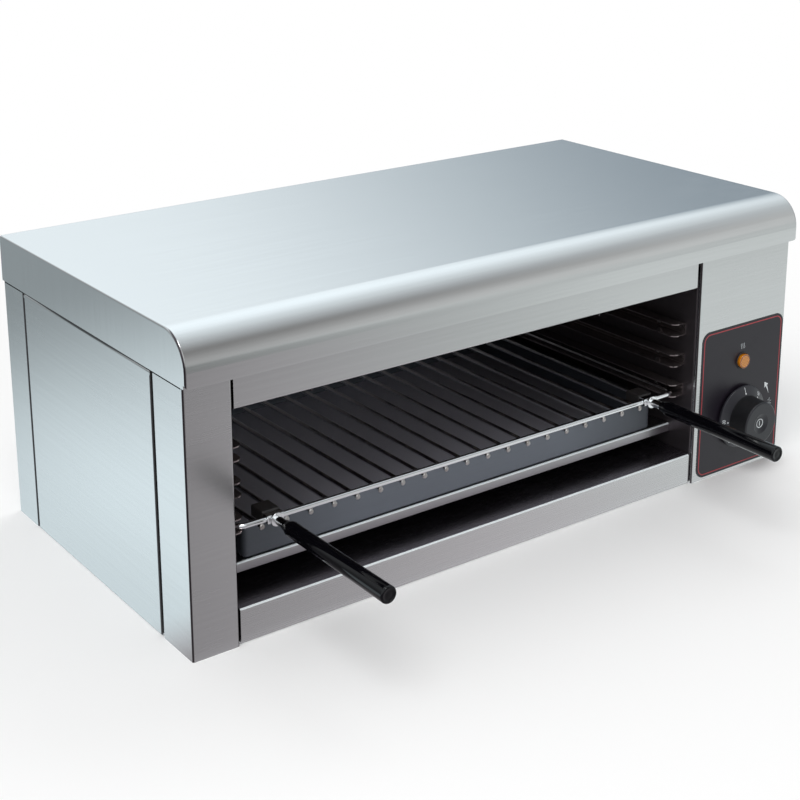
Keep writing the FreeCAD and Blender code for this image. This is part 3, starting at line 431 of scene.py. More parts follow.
def start_finish(name, colour, metallic=0.0, roughness=0.5, **plain):
    """A material with a Principled shader: sockets that stay the same all over are set here."""
    material = bpy.data.materials.new(name)
    material.use_nodes = True
    tree = material.node_tree
    tree.nodes.clear()
    shader = tree.nodes.new("ShaderNodeBsdfPrincipled")
    wire(tree, shader.outputs[0], add_node(tree, "ShaderNodeOutputMaterial").inputs[0])
    fixed = {"Base_Color": (*colour, 1), "Metallic": metallic, "Roughness": roughness, **plain}
    for label, value in fixed.items():
        shader.inputs[label.replace("_", " ")].default_value = value
    finishes[name] = material
    return tree, shader


def bump(tree, shader, height, distance):
    """Tiny relief from a height that runs from 0 to 1, over a distance in metres."""
    node = add_node(tree, "ShaderNodeBump", Height=height, Distance=distance, Strength=1.0)
    wire(tree, node.outputs[0], shader.inputs["Normal"])


# %% Brushed steel
fold_highlight_colour = (0.86, 0.92, 0.94, 1)  # the painted highlight on a level fold that faces up and forward
# Painted shade for the upright corners at the front.
corner_shade_colour = (0.07, 0.06, 0.065, 1)
tint_spread = 0.03  # the streaks' tint, up and down from the colour


def brushed_steel(name, colour, roughness, along=22.0, across=2400.0, side_turn=0.0, depth=0.0000025,
                  metallic=1.0, painted_fold_highlight=False, painted_corner_shade=False, inner=None):
    """Brushed sheet: streaks in its roughness, tint and relief, and faint smudges. It can have a painted
    highlight on level folds, painted shade on upright corners, and painted shading in another colour where
    it faces up."""
    tree, shader = start_finish(name, colour, metallic=metallic, roughness=roughness)
    grain = use_group(tree, brushing, Along=along, Across=across, Side_Turn=side_turn)
    marks = use_group(tree, smudges, Size=5.0)
    streak, band = grain.outputs["Streak"], grain.outputs["Band"]
    rough = sum_up(tree, "ADD", rescale(tree, streak, 0.25, 0.75, roughness - 0.02, roughness + 0.03),
                   sum_up(tree, "MULTIPLY", marks.outputs["Mask"], 0.03))
    wire(tree, rough, shader.inputs["Roughness"])
    tint = sum_up(tree, "ADD", rescale(tree, streak, 0.3, 0.7, 0.0, 0.6),
                  rescale(tree, band, 0.35, 0.65, 0.0, 0.4))
    dark = tuple(c * (1 - tint_spread) for c in colour)
    light = tuple(min(1.0, c * (1 + tint_spread)) for c in colour)
    shade = blend_colours(tree, tint, (*dark, 1), (*light, 1))
    # Painted highlight: level folds facing up and forward get a pale colour and less metal.
    if painted_fold_highlight:
        fold_highlight_mask = use_group(tree, folds).outputs["Mask"]
        shade = blend_colours(tree, fold_highlight_mask, shade, fold_highlight_colour)
        wire(tree, sum_up(tree, "MULTIPLY_ADD", fold_highlight_mask, -0.8, metallic), shader.inputs["Metallic"])
    # Painted shade: upright corners at the front get a dark colour.
    if painted_corner_shade:
        corner = use_group(tree, folds).outputs["Corner"]
        shade = blend_colours(tree, corner, shade, corner_shade_colour)
    # Painted shading where the sheet faces up: its colour there replaces the rest.
    if inner:
        shade = blend_colours(tree, use_group(tree, folds).outputs["Top"], shade, (*inner, 1))
    wire(tree, shade, shader.inputs["Base Color"])
    bump(tree, shader, streak, depth)


# %% Finishes of the steel sheets
brushed_steel("casing_steel", (0.62, 0.62, 0.62), 0.24, painted_fold_highlight=True, painted_corner_shade=True)
brushed_steel("lid_steel", (0.68, 0.68, 0.68), 0.18, side_turn=1.0, painted_corner_shade=True)
# The shelf gets painted shade where it faces up, on the floor of its low slot.
brushed_steel("shelf_steel", (0.62, 0.62, 0.62), 0.26, painted_fold_highlight=True, inner=(0.42, 0.39, 0.44))
brushed_steel("deck_steel", (0.47, 0.46, 0.47), 0.30, painted_fold_highlight=True)
brushed_steel("cavity_steel", (0.105, 0.092, 0.10), 0.30, metallic=0.8)
brushed_steel("back_steel", (0.36, 0.34, 0.35), 0.34, metallic=0.6)
brushed_steel("runner_steel", (0.30, 0.26, 0.26), 0.16, metallic=0.9)
# The tray gets painted light where it faces up, on its floor inside the cavity.
brushed_steel("tray_steel", (0.135, 0.152, 0.180), 0.32, metallic=0.25, depth=0.000001,
              inner=(0.60, 0.59, 0.66))
brushed_steel("zinc_steel", (0.66, 0.67, 0.68), 0.33, along=60.0, across=900.0)
brushed_steel("element_steel", (0.24, 0.21, 0.19), 0.42, along=60.0, across=900.0)
print("steel finishes:", len(finishes))

# %% Painted shade on the tray
# The tray's ends lie beside the cavity's side walls, and a painted shade darkens them: its colour is
# multiplied by a value that falls towards both ends.
tray_shade_reach = (0.12, 0.27)  # metres from the middle: where it starts, and where it is darkest
tray_end_shade = 0.50
tray_low, tray_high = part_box("drip_tray")
tree = finishes["tray_steel"].node_tree
shader = tree.nodes["Principled BSDF"]
tray_x, _, _ = axes_of(tree, "ShaderNodeTexCoord", "Object")
from_middle = sum_up(tree, "SUBTRACT", tray_x, (tray_low[0] + tray_high[0]) / 2)
light_left = rescale(tree, sum_up(tree, "ABSOLUTE", from_middle), *tray_shade_reach, 1.0, tray_end_shade)
tint = add_node(tree, "ShaderNodeCombineColor", Red=light_left, Green=light_left, Blue=light_left).outputs[0]
shade = shader.inputs["Base Color"].links[0].from_socket
wire(tree, blend_colours(tree, 1.0, shade, tint, "MULTIPLY"), shader.inputs["Base Color"])
print("tray shade:", tray_end_shade, "over", tray_shade_reach, "m")

# %% Finishes of the chromed wire
for name, roughness in (("rack_chrome", 0.05), ("handle_chrome", 0.06)):
    tree, shader = start_finish(name, (0.90, 0.91, 0.92), metallic=1.0, roughness=roughness)
    marks = use_group(tree, smudges, Size=30.0).outputs["Mask"]
    wire(tree, rescale(tree, marks, 0.0, 1.0, roughness, roughness + 0.12), shader.inputs["Roughness"])
    print(name, "roughness:", roughness)

# %% Finishes of the plastics


def moulded(name, colour, roughness, grain_size=0.0, grain_depth=0.0, **plain):
    """Moulded plastic: a fine spark-eroded texture, and roughness that changes where it's handled."""
    tree, shader = start_finish(name, colour, roughness=roughness, **plain)
    marks = use_group(tree, smudges, Size=25.0).outputs["Mask"]
    wire(tree, rescale(tree, marks, 0.0, 1.0, roughness, roughness + 0.08), shader.inputs["Roughness"])
    if grain_size:
        place = add_node(tree, "ShaderNodeTexCoord").outputs["Object"]
        bump(tree, shader, noise(tree, place, 1.0 / grain_size, 2.0, 0.5), grain_depth)


moulded("grip_black", (0.002, 0.002, 0.003), 0.05, Specular_IOR_Level=0.28)
moulded("block_black", (0.016, 0.014, 0.014), 0.45, 0.0006, 0.00004)
moulded("label_black", (0.012, 0.009, 0.015), 0.34, 0.0007, 0.00002, Specular_IOR_Level=0.38)
moulded("lamp_plastic", (0.05, 0.05, 0.05), 0.5, 0.0006, 0.00003)
moulded("thermostat_case", (0.04, 0.04, 0.042), 0.5, 0.0006, 0.00003)
moulded("terminal_plastic", (0.72, 0.70, 0.62), 0.45, 0.0006, 0.00003)
moulded("gland_plastic", (0.03, 0.03, 0.03), 0.45, 0.0006, 0.00003)
moulded("lens_orange", (0.86, 0.27, 0.03), 0.18, 0.0012, 0.0002, Transmission_Weight=0.35)
moulded("sensor_copper", (0.66, 0.36, 0.22), 0.3, Metallic=1.0)
moulded("insulation", (0.70, 0.66, 0.52), 0.95, 0.002, 0.0008)
print("finishes so far:", len(finishes))

# %% The knob's own finish
# The hub's side lies in the shade of its face, so a narrow ring between two radii is darker and rougher.
knob_low, knob_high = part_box("control_knob")
knob_x = (knob_low[0] + knob_high[0]) / 2
knob_z = (knob_low[2] + knob_high[2]) / 2
hub_face_radius, hub_foot_radius = 0.0254, 0.0270
tree, shader = start_finish("knob_black", (0.02, 0.02, 0.024), roughness=0.36)
face_zone, hub_zone = (
    use_group(tree, zones, Centre_X=knob_x, Centre_Z=knob_z, Radius=radius).outputs["Inside"]
    for radius in (hub_face_radius, hub_foot_radius))
side_only = sum_up(tree, "SUBTRACT", hub_zone, face_zone)
shade = blend_colours(tree, face_zone, (0.020, 0.020, 0.026, 1), (0.011, 0.011, 0.016, 1))
shade = blend_colours(tree, side_only, shade, (0.001, 0.001, 0.002, 1))
wire(tree, shade, shader.inputs["Base Color"])
wire(tree, sum_up(tree, "MULTIPLY_ADD", side_only, 0.20, 0.34), shader.inputs["Roughness"])
place = add_node(tree, "ShaderNodeTexCoord").outputs["Object"]
bump(tree, shader, noise(tree, place, 2000.0, 2.0, 0.5), 0.00003)
print("knob axis at", round(knob_x, 4), round(knob_z, 4))

# %% Give every solid its finish
slot_of = {row["node"]: row["material_slot"] for row in frame["record"]["subparts"]}
own_finish = {"lid": "lid_steel", "lower_shelf": "shelf_steel", "cavity_deck": "deck_steel",
              "cavity_back_wall": "back_steel"}
for name, node in frame["nodes"].items():
    finish = own_finish.get(name, slot_of[name])
    for holder in node.material_slots:
        holder.material = finishes[finish]
print("finishes:", len(finishes))

# %% [markdown]
# ## Thin details
#
# The solids carry the form. What is printed, welded or glued on them is thinner than a sheet of card, and
# each such piece is a surface worked out as whole arrays: a grid of points, stitched into faces by counting.

# %% Piece helpers
mm = 0.001


def stitch(rows, columns, close_rows=False, close_columns=False):
    """The faces of a grid of points: point (r, c) has number r * columns + c, and each face joins four."""
    r = np.arange(rows if close_rows else rows - 1)[:, None]
    c = np.arange(columns if close_columns else columns - 1)[None, :]
    r2, c2 = (r + 1) % rows, (c + 1) % columns
    corners = [r * columns + c, r2 * columns + c, r2 * columns + c2, r * columns + c2]
    return np.stack(np.broadcast_arrays(*corners), -1).reshape(-1, 4)


def tube_faces(rows, around):
    """The faces of a tube that is made of rows of points, with one face over each end."""
    last = rows * around
    ends = [list(range(around)), list(range(last - 1, last - around - 1, -1))]
    return stitch(rows, around, close_columns=True).tolist() + ends


def piece(name, points, faces, finish, body, smooth=True, merge=0.0):
    """A mesh out of points in metres, with outward normals, a finish and a body to ride on."""
    mesh = bpy.data.meshes.new(name)
    mesh.from_pydata(np.asarray(points).reshape(-1, 3).tolist(), [],
                     [list(map(int, face)) for face in faces])
    form = bmesh.new()
    form.from_mesh(mesh)
    if merge:
        bmesh.ops.remove_doubles(form, verts=form.verts, dist=merge)
    bmesh.ops.recalc_face_normals(form, faces=form.faces)
    form.to_mesh(mesh)
    form.free()
    mesh.polygons.foreach_set("use_smooth", np.full(len(mesh.polygons), smooth))
    mesh.materials.append(finishes[finish])
    made = bpy.data.objects.new(name, mesh)
    bpy.context.collection.objects.link(made)
    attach(made, body)
    print(name, "faces:", len(mesh.polygons))
    return made


def facing_front(flat, y):
    """Flat points (x, z) put on a plane that faces the front, at a depth y."""
    return np.stack([flat[..., 0], np.broadcast_to(y, flat.shape[:-1]), flat[..., 1]], -1)


def rounded_rectangle(low, high, radius, steps=12):
    """A closed path round a rectangle, with a quarter circle about each corner's centre, and its normals."""
    turns = np.linspace(0, math.pi / 2, steps)
    angles = (np.arange(4)[:, None] * math.pi / 2 + turns).ravel()
    outward = np.stack([np.cos(angles), np.sin(angles)], -1)
    side = np.repeat(np.array([[1, 1], [0, 1], [0, 0], [1, 0]]), steps, 0)
    centres = np.where(side == 1, np.array(high) - radius, np.array(low) + radius)
    return centres + radius * outward, outward


def stroke_outward(path):
    """Normals of an open path: its direction turned by a quarter."""
    along = np.gradient(path, axis=0)
    along /= np.linalg.norm(along, axis=1, keepdims=True)
    return np.stack([along[:, 1], -along[:, 0]], -1)


def printed_line(name, path, outward, widths, depth, finish, body, closed=False, height=0.12 * mm,
                 sink=0.03 * mm):
    """A raised line: at each point of the path a small box section, half the width to each side of it."""
    half = np.broadcast_to(np.asarray(widths) / 2, len(path))[:, None]
    inner, outer = path - outward * half, path + outward * half
    base, top = depth + sink, depth - height
    corners = ((inner, base), (inner, top), (outer, top), (outer, base))
    section = np.stack([facing_front(*corner) for corner in corners], 1)
    faces = stitch(len(path), 4, close_rows=True, close_columns=True) if closed else tube_faces(len(path), 4)
    return piece(name, section, faces, finish, body, smooth=False)


# %% [markdown]
# ## The control label
#
# The label is a dark film with a thin red line round it and a few plain signs in white. Printing has almost
# no thickness, but a line that stands a tenth of a millimetre proud catches light like thick screen ink.

# %% Inks
moulded("ink_red", (0.36, 0.035, 0.045), 0.45, 0.0004, 0.00001)
moulded("ink_white", (0.72, 0.76, 0.78), 0.45, 0.0004, 0.00001)
moulded("ink_grey", (0.38, 0.41, 0.43), 0.5, 0.0004, 0.00001)
print("finishes so far:", len(finishes))

# %% Label line
label_low, label_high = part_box("control_label")
label_front = label_low[1]
line_inset = 3.3 * mm
line_width = 1.3 * mm
line_radius = 9.0 * mm
border, border_out = rounded_rectangle((label_low[0] + line_inset, label_low[2] + line_inset),
                                       (label_high[0] - line_inset, label_high[2] - line_inset), line_radius)
printed_line("label_border", border, border_out, line_width, label_front, "ink_red", "casing",
             closed=True)

# %% Signs on the label
lens_low, lens_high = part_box("indicator_lens")
lens_x = (lens_low[0] + lens_high[0]) / 2
heat_sign_low = lens_high[2] + 5.5 * mm
heat_sign_height = 6.5 * mm
heat_sign_spacing = 2.6 * mm
heat_sign_swing, heat_sign_width = 0.55 * mm, 0.75 * mm
for count in range(3):
    climb = np.linspace(0, 1, 25)
    wave_x = lens_x + (count - 1) * heat_sign_spacing + heat_sign_swing * np.sin(climb * 2 * math.pi)
    wave = np.stack([wave_x, heat_sign_low + climb * heat_sign_height], -1)
    printed_line("heat_sign_%d" % (count + 1), wave, stroke_outward(wave), heat_sign_width, label_front,
                 "ink_grey", "casing")

# The turning arrow is an arc about the knob that swells into its head, which is its last stretch.
signs_radius = 52.5 * mm
arrow_angles = np.radians(np.concatenate([np.linspace(18, 30, 20), [30.05], np.linspace(31, 37, 6)]))
arrow_widths = np.concatenate([np.linspace(0.2, 2.2, 20), [7.4], np.linspace(6.2, 0.05, 6)]) * mm
arrow_out = np.stack([np.cos(arrow_angles), np.sin(arrow_angles)], -1)
arrow = np.array([knob_x, knob_z]) + signs_radius * arrow_out
printed_line("turning_arrow", arrow, arrow_out, arrow_widths, label_front, "ink_white", "casing")

# A heating element as an upright zigzag between two short leads.
zigzag_lift, zigzag_width = 4.5 * mm, 0.95 * mm
zigzag_climb = np.array([-5.0, -3.6, -2.7, -0.9, 0.9, 2.7, 3.6, 5.0]) * mm
zigzag_swing = np.array([0, 0, 3.4, -3.4, 3.4, -3.4, 0, 0]) * mm
zigzag = np.stack([zigzag_swing, zigzag_climb], -1)
printed_line("element_sign", zigzag + (knob_x + signs_radius, knob_z + zigzag_lift), stroke_outward(zigzag),
             zigzag_width, label_front, "ink_grey", "casing")

# %% [markdown]
# ## The knob's dial
#
# The numbers sit on the knob's sloping skirt and turn with it. A text is laid flat, made a mesh, and then
# bent: its left-to-right becomes an angle round the axis, its height becomes a distance from the axis, and
# the distance gives the depth, because the skirt is a cone.

# %% Dial numbers
skirt_inner, skirt_outer = 26.5 * mm, 37.5 * mm
skirt_inner_y = knob_high[1] - 7.5 * mm
skirt_outer_y = knob_high[1] - 3.0 * mm
skirt_slope = (skirt_outer_y - skirt_inner_y) / (skirt_outer - skirt_inner)


def on_skirt(across, out, thick):
    """Points on the skirt's cone: an angle clockwise from the top, a distance from the axis, a height."""
    depth = skirt_inner_y + (out - skirt_inner) * skirt_slope
    return np.stack([knob_x + out * np.sin(across), depth - thick, knob_z + out * np.cos(across)], -1)


def dial_number(text, angle, out, size):
    """A number that stands on the skirt, with its middle at an angle and a distance from the axis."""
    curve = bpy.data.curves.new("dial_" + text, "FONT")
    curve.body = text
    curve.size = size
    curve.align_x = "CENTER"
    curve.align_y = "CENTER"
    curve.extrude = 0.06 * mm
    curve.resolution_u = 3
    words = bpy.data.objects.new("dial_text", curve)
    bpy.context.collection.objects.link(words)
    bpy.context.view_layer.update()
    mesh = bpy.data.meshes.new_from_object(words.evaluated_get(bpy.context.evaluated_depsgraph_get()))
    bpy.data.objects.remove(words)
    flat = np.empty(len(mesh.vertices) * 3)
    mesh.vertices.foreach_get("co", flat)
    flat = flat.reshape(-1, 3)
    faces = [list(face.vertices) for face in mesh.polygons]
    bpy.data.meshes.remove(mesh)
    bent = on_skirt(angle + flat[:, 0] / out, out + flat[:, 1], flat[:, 2] + 0.03 * mm)
    return piece("dial_" + text, bent, faces, "ink_white", "knob", smooth=False, merge=1e-7)


number_radius, number_size = 33.2 * mm, 5.2 * mm
dial_numbers = {"50": 45, "100": 90, "150": 135, "200": 180, "250": 225, "300": 270}
for text, degrees in dial_numbers.items():
    dial_number(text, math.radians(degrees), number_radius, number_size)

# %% Dial marks


def dial_tick(name, degrees, out_from, out_to, width, rows=9):
    """A short raised line along the skirt's slope: angle by distance, its rim pressed into the skirt."""
    out = np.linspace(out_from, out_to, rows)[:, None]
    side = np.array([-1, -1, 1, 1])[None, :]
    thick = np.array([-0.03, 0.1, 0.1, -0.03])[None, :] * mm
    angle = math.radians(degrees) + side * width / 2 / out
    section = on_skirt(angle, np.broadcast_to(out, angle.shape), np.broadcast_to(thick, angle.shape))
    return piece(name, section, tube_faces(rows, 4), "ink_white", "knob", smooth=False)


dot_from, dot_to, dot_width = 28.0 * mm, 29.4 * mm, 1.4 * mm
dial_tick("dial_pointer", 0, 29.0 * mm, 36.0 * mm, 0.7 * mm)
dial_tick("dial_zero", 0, 28.4 * mm, 30.0 * mm, 1.8 * mm)
dial_tick("dial_stop", 259, dot_from, dot_to, dot_width)
for degrees in dial_numbers.values():
    dial_tick("dial_dot_%d" % degrees, degrees, dot_from, dot_to, dot_width)

# %% Ring in the dish of the knob
dish_radius, dish_depth = 12.0 * mm, 2.5 * mm
dish_ball = (dish_radius ** 2 + dish_depth ** 2) / (2 * dish_depth)
ring_steps = 48
turn = np.linspace(0, 2 * math.pi, ring_steps, endpoint=False)
ring_out = np.stack([np.cos(turn), np.sin(turn)], -1)
ring_section = np.array([(4.6, 0.03), (4.6, -0.10), (5.5, -0.10), (5.5, 0.03)]) * mm
ring_dip = np.sqrt(dish_ball ** 2 - ring_section[:, 0] ** 2) - (dish_ball - dish_depth)
ring_flat = np.array([knob_x, knob_z]) + ring_section[None, :, 0, None] * ring_out[:, None, :]
ring_points = facing_front(ring_flat, knob_low[1] + ring_dip + ring_section[:, 1])
piece("knob_ring", ring_points, stitch(ring_steps, 4, close_rows=True, close_columns=True), "ink_white",
      "knob")
bar_half, bar_width, bar_height = 2.9 * mm, 0.9 * mm, 0.25 * mm
bar_line = np.stack([np.full(9, knob_x), knob_z + np.linspace(-bar_half, bar_half, 9)], -1)
bar_dip = knob_low[1] + dish_depth - 0.02 * mm
printed_line("knob_bar", bar_line, stroke_outward(bar_line), bar_width, bar_dip, "ink_white", "knob",
             height=bar_height)

# %% [markdown]
# ## Turned pieces: the lamp's lens and the two grips
#
# A lathe cuts one outline all the way round. The outline is a list of distances along the axis and radii,
# rounded by arcs, and every point of it is carried round the axis. The lens has a face pressed with slanting
# ridges, and the grips narrow a little in the middle, close with a bevel and have a dished end.

# %% Turning


def arc(depth, radius, size, start, end, steps=7):
    """Points (depth, radius) on a circle of a size, between two angles in degrees from the axis."""
    angle = np.radians(np.linspace(start, end, steps))
    return np.stack([depth + size * np.cos(angle), radius + size * np.sin(angle)], -1)


def turned(name, centre, front, outline, finish, body, around=64):
    """A lathe form: x = cx + r cos t, y = front - depth, z = cz + r sin t, for each (depth, r) of it."""
    turn = np.linspace(0, 2 * math.pi, around, endpoint=False)
    out = np.stack([np.cos(turn), np.sin(turn)], -1)
    flat = np.asarray(centre) + outline[:, 1, None, None] * out[None]
    depth = np.repeat((front - outline[:, 0])[:, None], around, 1)
    points = np.stack([flat[..., 0], depth, flat[..., 1]], -1)
    faces = stitch(len(outline), around, close_columns=True)
    return piece(name, points, faces, finish, body, merge=1e-6)


# %% Lamp lens
moulded("lens_side", (0.90, 0.30, 0.01), 0.10, Transmission_Weight=0.3, Coat_Weight=0.6)
moulded("lens_rim", (0.22, 0.10, 0.07), 0.25, Coat_Weight=0.5)
lens_z = (lens_low[2] + lens_high[2]) / 2
lens_radius, lens_stand, lens_round, lens_foot = 8.5 * mm, 4.6 * mm, 0.6 * mm, 1.0 * mm
face_radius, face_sink, face_bevel = 7.0 * mm, 0.35 * mm, 0.3 * mm
rim_gap, rim_size = 0.55 * mm, 0.45 * mm
lens_centre = (lens_x, lens_z)
lens_outline = np.concatenate([
    [(-lens_foot, 0.0), (-lens_foot, lens_radius)],
    arc(lens_stand - lens_round, lens_radius - lens_round, lens_round, 90, 0),
    [(lens_stand, face_radius + face_bevel), (lens_stand - face_sink, face_radius),
     (lens_stand - face_sink, 0.0)]])
lens_piece = turned("lamp_lens", lens_centre, label_front, lens_outline, "lens_side", "casing")
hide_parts("indicator_lens")
rim_circle = arc(lens_stand, face_radius + rim_gap, rim_size, 0, 360, 17)
rim_outline = np.concatenate([rim_circle[:-1], rim_circle[:1]])
turned("lamp_rim", lens_centre, label_front, rim_outline, "lens_rim", "casing")

# %% Finish of the lamp's face, with painted shade in its grooves
ridge_pitch, ridge_height, ridge_lean = 2.1 * mm, 0.7 * mm, math.radians(-58)
tree, shader = start_finish("lens_facets", (0.80, 0.36, 0.08), roughness=0.2, Coat_Weight=0.4)
x, _, z = axes_of(tree, "ShaderNodeTexCoord", "Object")
crossing = sum_up(tree, "MULTIPLY_ADD", x, math.sin(ridge_lean) / ridge_pitch,
                  sum_up(tree, "MULTIPLY", z, math.cos(ridge_lean) / ridge_pitch))
# Painted shade: darker towards each groove between the ridges, lighter orange elsewhere.
ridge_light_share = rescale(tree, sum_up(tree, "PINGPONG", crossing, 0.5), 0.05, 0.30)
wire(tree, blend_colours(tree, ridge_light_share, (0.22, 0.06, 0.01, 1), (0.74, 0.34, 0.09, 1)),
     shader.inputs["Base Color"])
print("ridges:", round(2 * face_radius / ridge_pitch))

# %% Lamp face
# A square grid (u, v) becomes a disc: x = u sqrt(1 - v v / 2), z = v sqrt(1 - u u / 2). Its rim is sunk.
cells = 121
u, v = np.meshgrid(np.linspace(-1, 1, cells), np.linspace(-1, 1, cells), indexing="ij")
disc = np.stack([u * np.sqrt(1 - v * v / 2), v * np.sqrt(1 - u * u / 2)], -1) * face_radius + lens_centre
ridges = (disc @ np.array([math.sin(ridge_lean), math.cos(ridge_lean)])) / ridge_pitch
rise = ridge_height * np.abs((ridges + 0.5) % 1 - 0.5) * 2
on_rim = np.maximum(np.abs(u), np.abs(v)) > 0.999
rise = np.where(on_rim, -0.1 * mm, rise)
face_points = facing_front(disc, label_front - lens_stand + face_sink - 0.05 * mm - rise)
piece("lamp_face", face_points, stitch(cells, cells), "lens_facets", "casing", smooth=False)

# %% Lamp bezel
bezel_inner, bezel_outer, bezel_round, bezel_foot = 9.0 * mm, 10.1 * mm, 0.5 * mm, 0.3 * mm
bezel_outline = np.concatenate([
    [(-bezel_foot, bezel_inner), (bezel_round, bezel_inner)],
    arc(bezel_round, bezel_outer - bezel_round, bezel_round, 60, 0),
    [(-bezel_foot, bezel_outer), (-bezel_foot, bezel_inner)]])
turned("lamp_bezel", lens_centre, label_front, bezel_outline, "lamp_plastic", "casing")

# %% Grips
grip_neck, grip_back, grip_waist, grip_front = 5.4 * mm, 8.0 * mm, 7.9 * mm, 8.4 * mm
grip_cone, grip_seam, grip_bevel, grip_dish = 11.0 * mm, 35.0 * mm, 1.7 * mm, 5.9 * mm
grip_after_cone, grip_before_end = 2 * mm, 3 * mm
grip_shorter = 11.0 * mm  # how much sooner the grip ends than its solid
neck_round, lip_round, seam_depth, seam_width = 0.8 * mm, 0.5 * mm, 0.22 * mm, 0.9 * mm
for side in ("left", "right"):
    low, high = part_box(side + "_handle_grip")
    length = high[1] - low[1] - grip_shorter
    cone = np.linspace(0, 1, 12)
    cone_points = np.stack([neck_round + cone * grip_cone,
                            grip_neck + (grip_back - grip_neck) * (1 - np.cos(cone * math.pi)) / 2], -1)
    run = np.linspace(grip_cone + grip_after_cone, length - grip_before_end, 120)
    share = (run - run[0]) / (run[-1] - run[0])
    waist = (grip_front - grip_waist) * np.sin(share * math.pi) * 0.5
    swell = grip_back + (grip_front - grip_back) * share - waist
    seam = seam_depth * np.exp(-((run - grip_seam) / seam_width) ** 2)
    grip_outline = np.concatenate([
        [(0.0, 0.0), (0.0, grip_neck - neck_round)],
        arc(neck_round, grip_neck - neck_round, neck_round, 180, 90),
        cone_points[1:], np.stack([run, swell - seam], -1),
        arc(length - grip_bevel, grip_front - grip_bevel, grip_bevel, 90, 0),
        arc(length - lip_round, grip_dish + lip_round, lip_round, 0, -60),
        [(length - 0.8 * mm, grip_dish - 0.3 * mm), (length - 0.3 * mm, grip_dish * 0.5),
         (length - 0.1 * mm, 0.0)]])
    centre = ((low[0] + high[0]) / 2, (low[2] + high[2]) / 2)
    grip = turned(side + "_grip_cover", centre, high[1], grip_outline, "grip_black", "rack")
    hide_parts(side + "_handle_grip")

# %% [markdown]
# ## The rack's welds
#
# Each cross wire is pressed into the frame wire with a current through both, which leaves a small flattened
# nugget at every crossing, and its cut ends are tumbled round. One little blob is worked out, and it is
# repeated over all the places at once by adding every place to every point.

# %% Blobs
random = np.random.default_rng(7)
tree, shader = start_finish("weld_steel", (0.46, 0.42, 0.40), metallic=1.0, roughness=0.3)
marks = use_group(tree, smudges, Size=180.0).outputs["Mask"]
wire(tree, blend_colours(tree, marks, (0.54, 0.52, 0.51, 1), (0.28, 0.23, 0.20, 1)),
     shader.inputs["Base Color"])


def blobs(name, places, radii, finish, body, uneven=0.12, rows=7, columns=12):
    """Small rounded bodies: x = rx sin a cos b, y = ry sin a sin b, z = rz cos a, swollen by sines."""
    polar = np.linspace(0, math.pi, rows)[:, None]
    around = np.linspace(0, 2 * math.pi, columns, endpoint=False)[None, :]
    ball = np.stack(np.broadcast_arrays(np.sin(polar) * np.cos(around), np.sin(polar) * np.sin(around),
                                        np.cos(polar)), -1)
    phase = random.uniform(0, 2 * math.pi, (len(places), 1, 1))
    swell = 1 + uneven * np.sin(2 * around[None] + phase) * np.sin(polar)[None]
    points = np.asarray(places)[:, None, None, :] + ball[None] * np.asarray(radii) * swell[..., None]
    one = stitch(rows, columns, close_columns=True)
    faces = (one[None] + np.arange(len(places))[:, None, None] * rows * columns).reshape(-1, 4)
    return piece(name, points, faces, finish, body, merge=1e-6)


# %% Welds and cut ends
wires_low, wires_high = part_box("rack_cross_wires")
wire_radius = (wires_high[2] - wires_low[2]) / 2
wire_count = 20
wire_x = np.linspace(wires_low[0] + wire_radius, wires_high[0] - wire_radius, wire_count)
wire_z = (wires_low[2] + wires_high[2]) / 2
weld_inset, weld_size = 1.5 * mm, (2.6 * mm, 2.4 * mm, 1.1 * mm)
weld_x, weld_y = np.meshgrid(wire_x, [wires_low[1] + weld_inset, wires_high[1] - weld_inset], indexing="ij")
weld_places = np.stack([weld_x, weld_y, np.full_like(weld_x, wires_high[2])], -1).reshape(-1, 3)
blobs("wire_welds", weld_places, weld_size, "weld_steel", "rack")
end_drop, end_size = 0.4 * mm, (wire_radius * 1.2, 1.5 * mm, wire_radius * 1.2)
end_x, end_y = np.meshgrid(wire_x, [wires_low[1], wires_high[1]], indexing="ij")
end_places = np.stack([end_x, end_y, np.full_like(end_x, wire_z - end_drop)], -1).reshape(-1, 3)
blobs("wire_ends", end_places, end_size, "weld_steel", "rack", uneven=0.05, rows=9)

# %% [markdown]
# ## Painted shade in the casing's gaps
#
# A black strip in the gap between the lid's front and the sheets behind it paints the shade there, and only
# its lower edge shows, as a thin line. Such black strips also paint the shade in the grooves beside the side
# panels and in the gap above them. Each is an oval section carried along a straight line, and the one above
# a side panel sags a little.

# %% Strips


def shade_strip(name, low, high, belly=0.0, rows=25):
    """A long black strip of painted shade: an oval section carried along its longest side, with sag belly
    sin(pi s).
    """
    low, high = np.array(low), np.array(high)
    long = int(np.argmax(high - low))
    a, b = [axis for axis in range(3) if axis != long]
    section = np.linspace(0, 2 * math.pi, 16, endpoint=False)[None, :]
    share = np.linspace(0, 1, rows)[:, None]
    sag = belly * np.sin(math.pi * share)
    points = np.empty((rows, 16, 3))
    points[..., a] = (low[a] + high[a]) / 2 + (high[a] - low[a]) / 2 * np.cos(section)
    points[..., b] = (low[b] + high[b] - sag) / 2 + (high[b] - low[b] + sag) / 2 * np.sin(section)
    points[..., long] = low[long] + share * (high[long] - low[long])
    return piece(name, points, tube_faces(rows, 16), "shade_black", "casing", smooth=False)


# %% Lid shade line
# Black for the painted shade in the gaps, the grooves and the screws' recesses.
moulded("shade_black", (0.012, 0.011, 0.011), 0.6)
lid_low, lid_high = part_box("lid")
shade_line_inset, shade_line_back, shade_line_depth, shade_line_height, shade_line_drop = 8.0 * mm, 1.1 * mm, 8.0 * mm, 2.5 * mm, 1.0 * mm
shade_line_corner = (lid_low[0] + shade_line_inset, lid_low[1] + shade_line_back, lid_low[2] - shade_line_drop)
shade_strip("lid_gap_shade", shade_line_corner,
           (lid_high[0] - shade_line_inset, shade_line_corner[1] + shade_line_depth, shade_line_corner[2] + shade_line_height), rows=2)
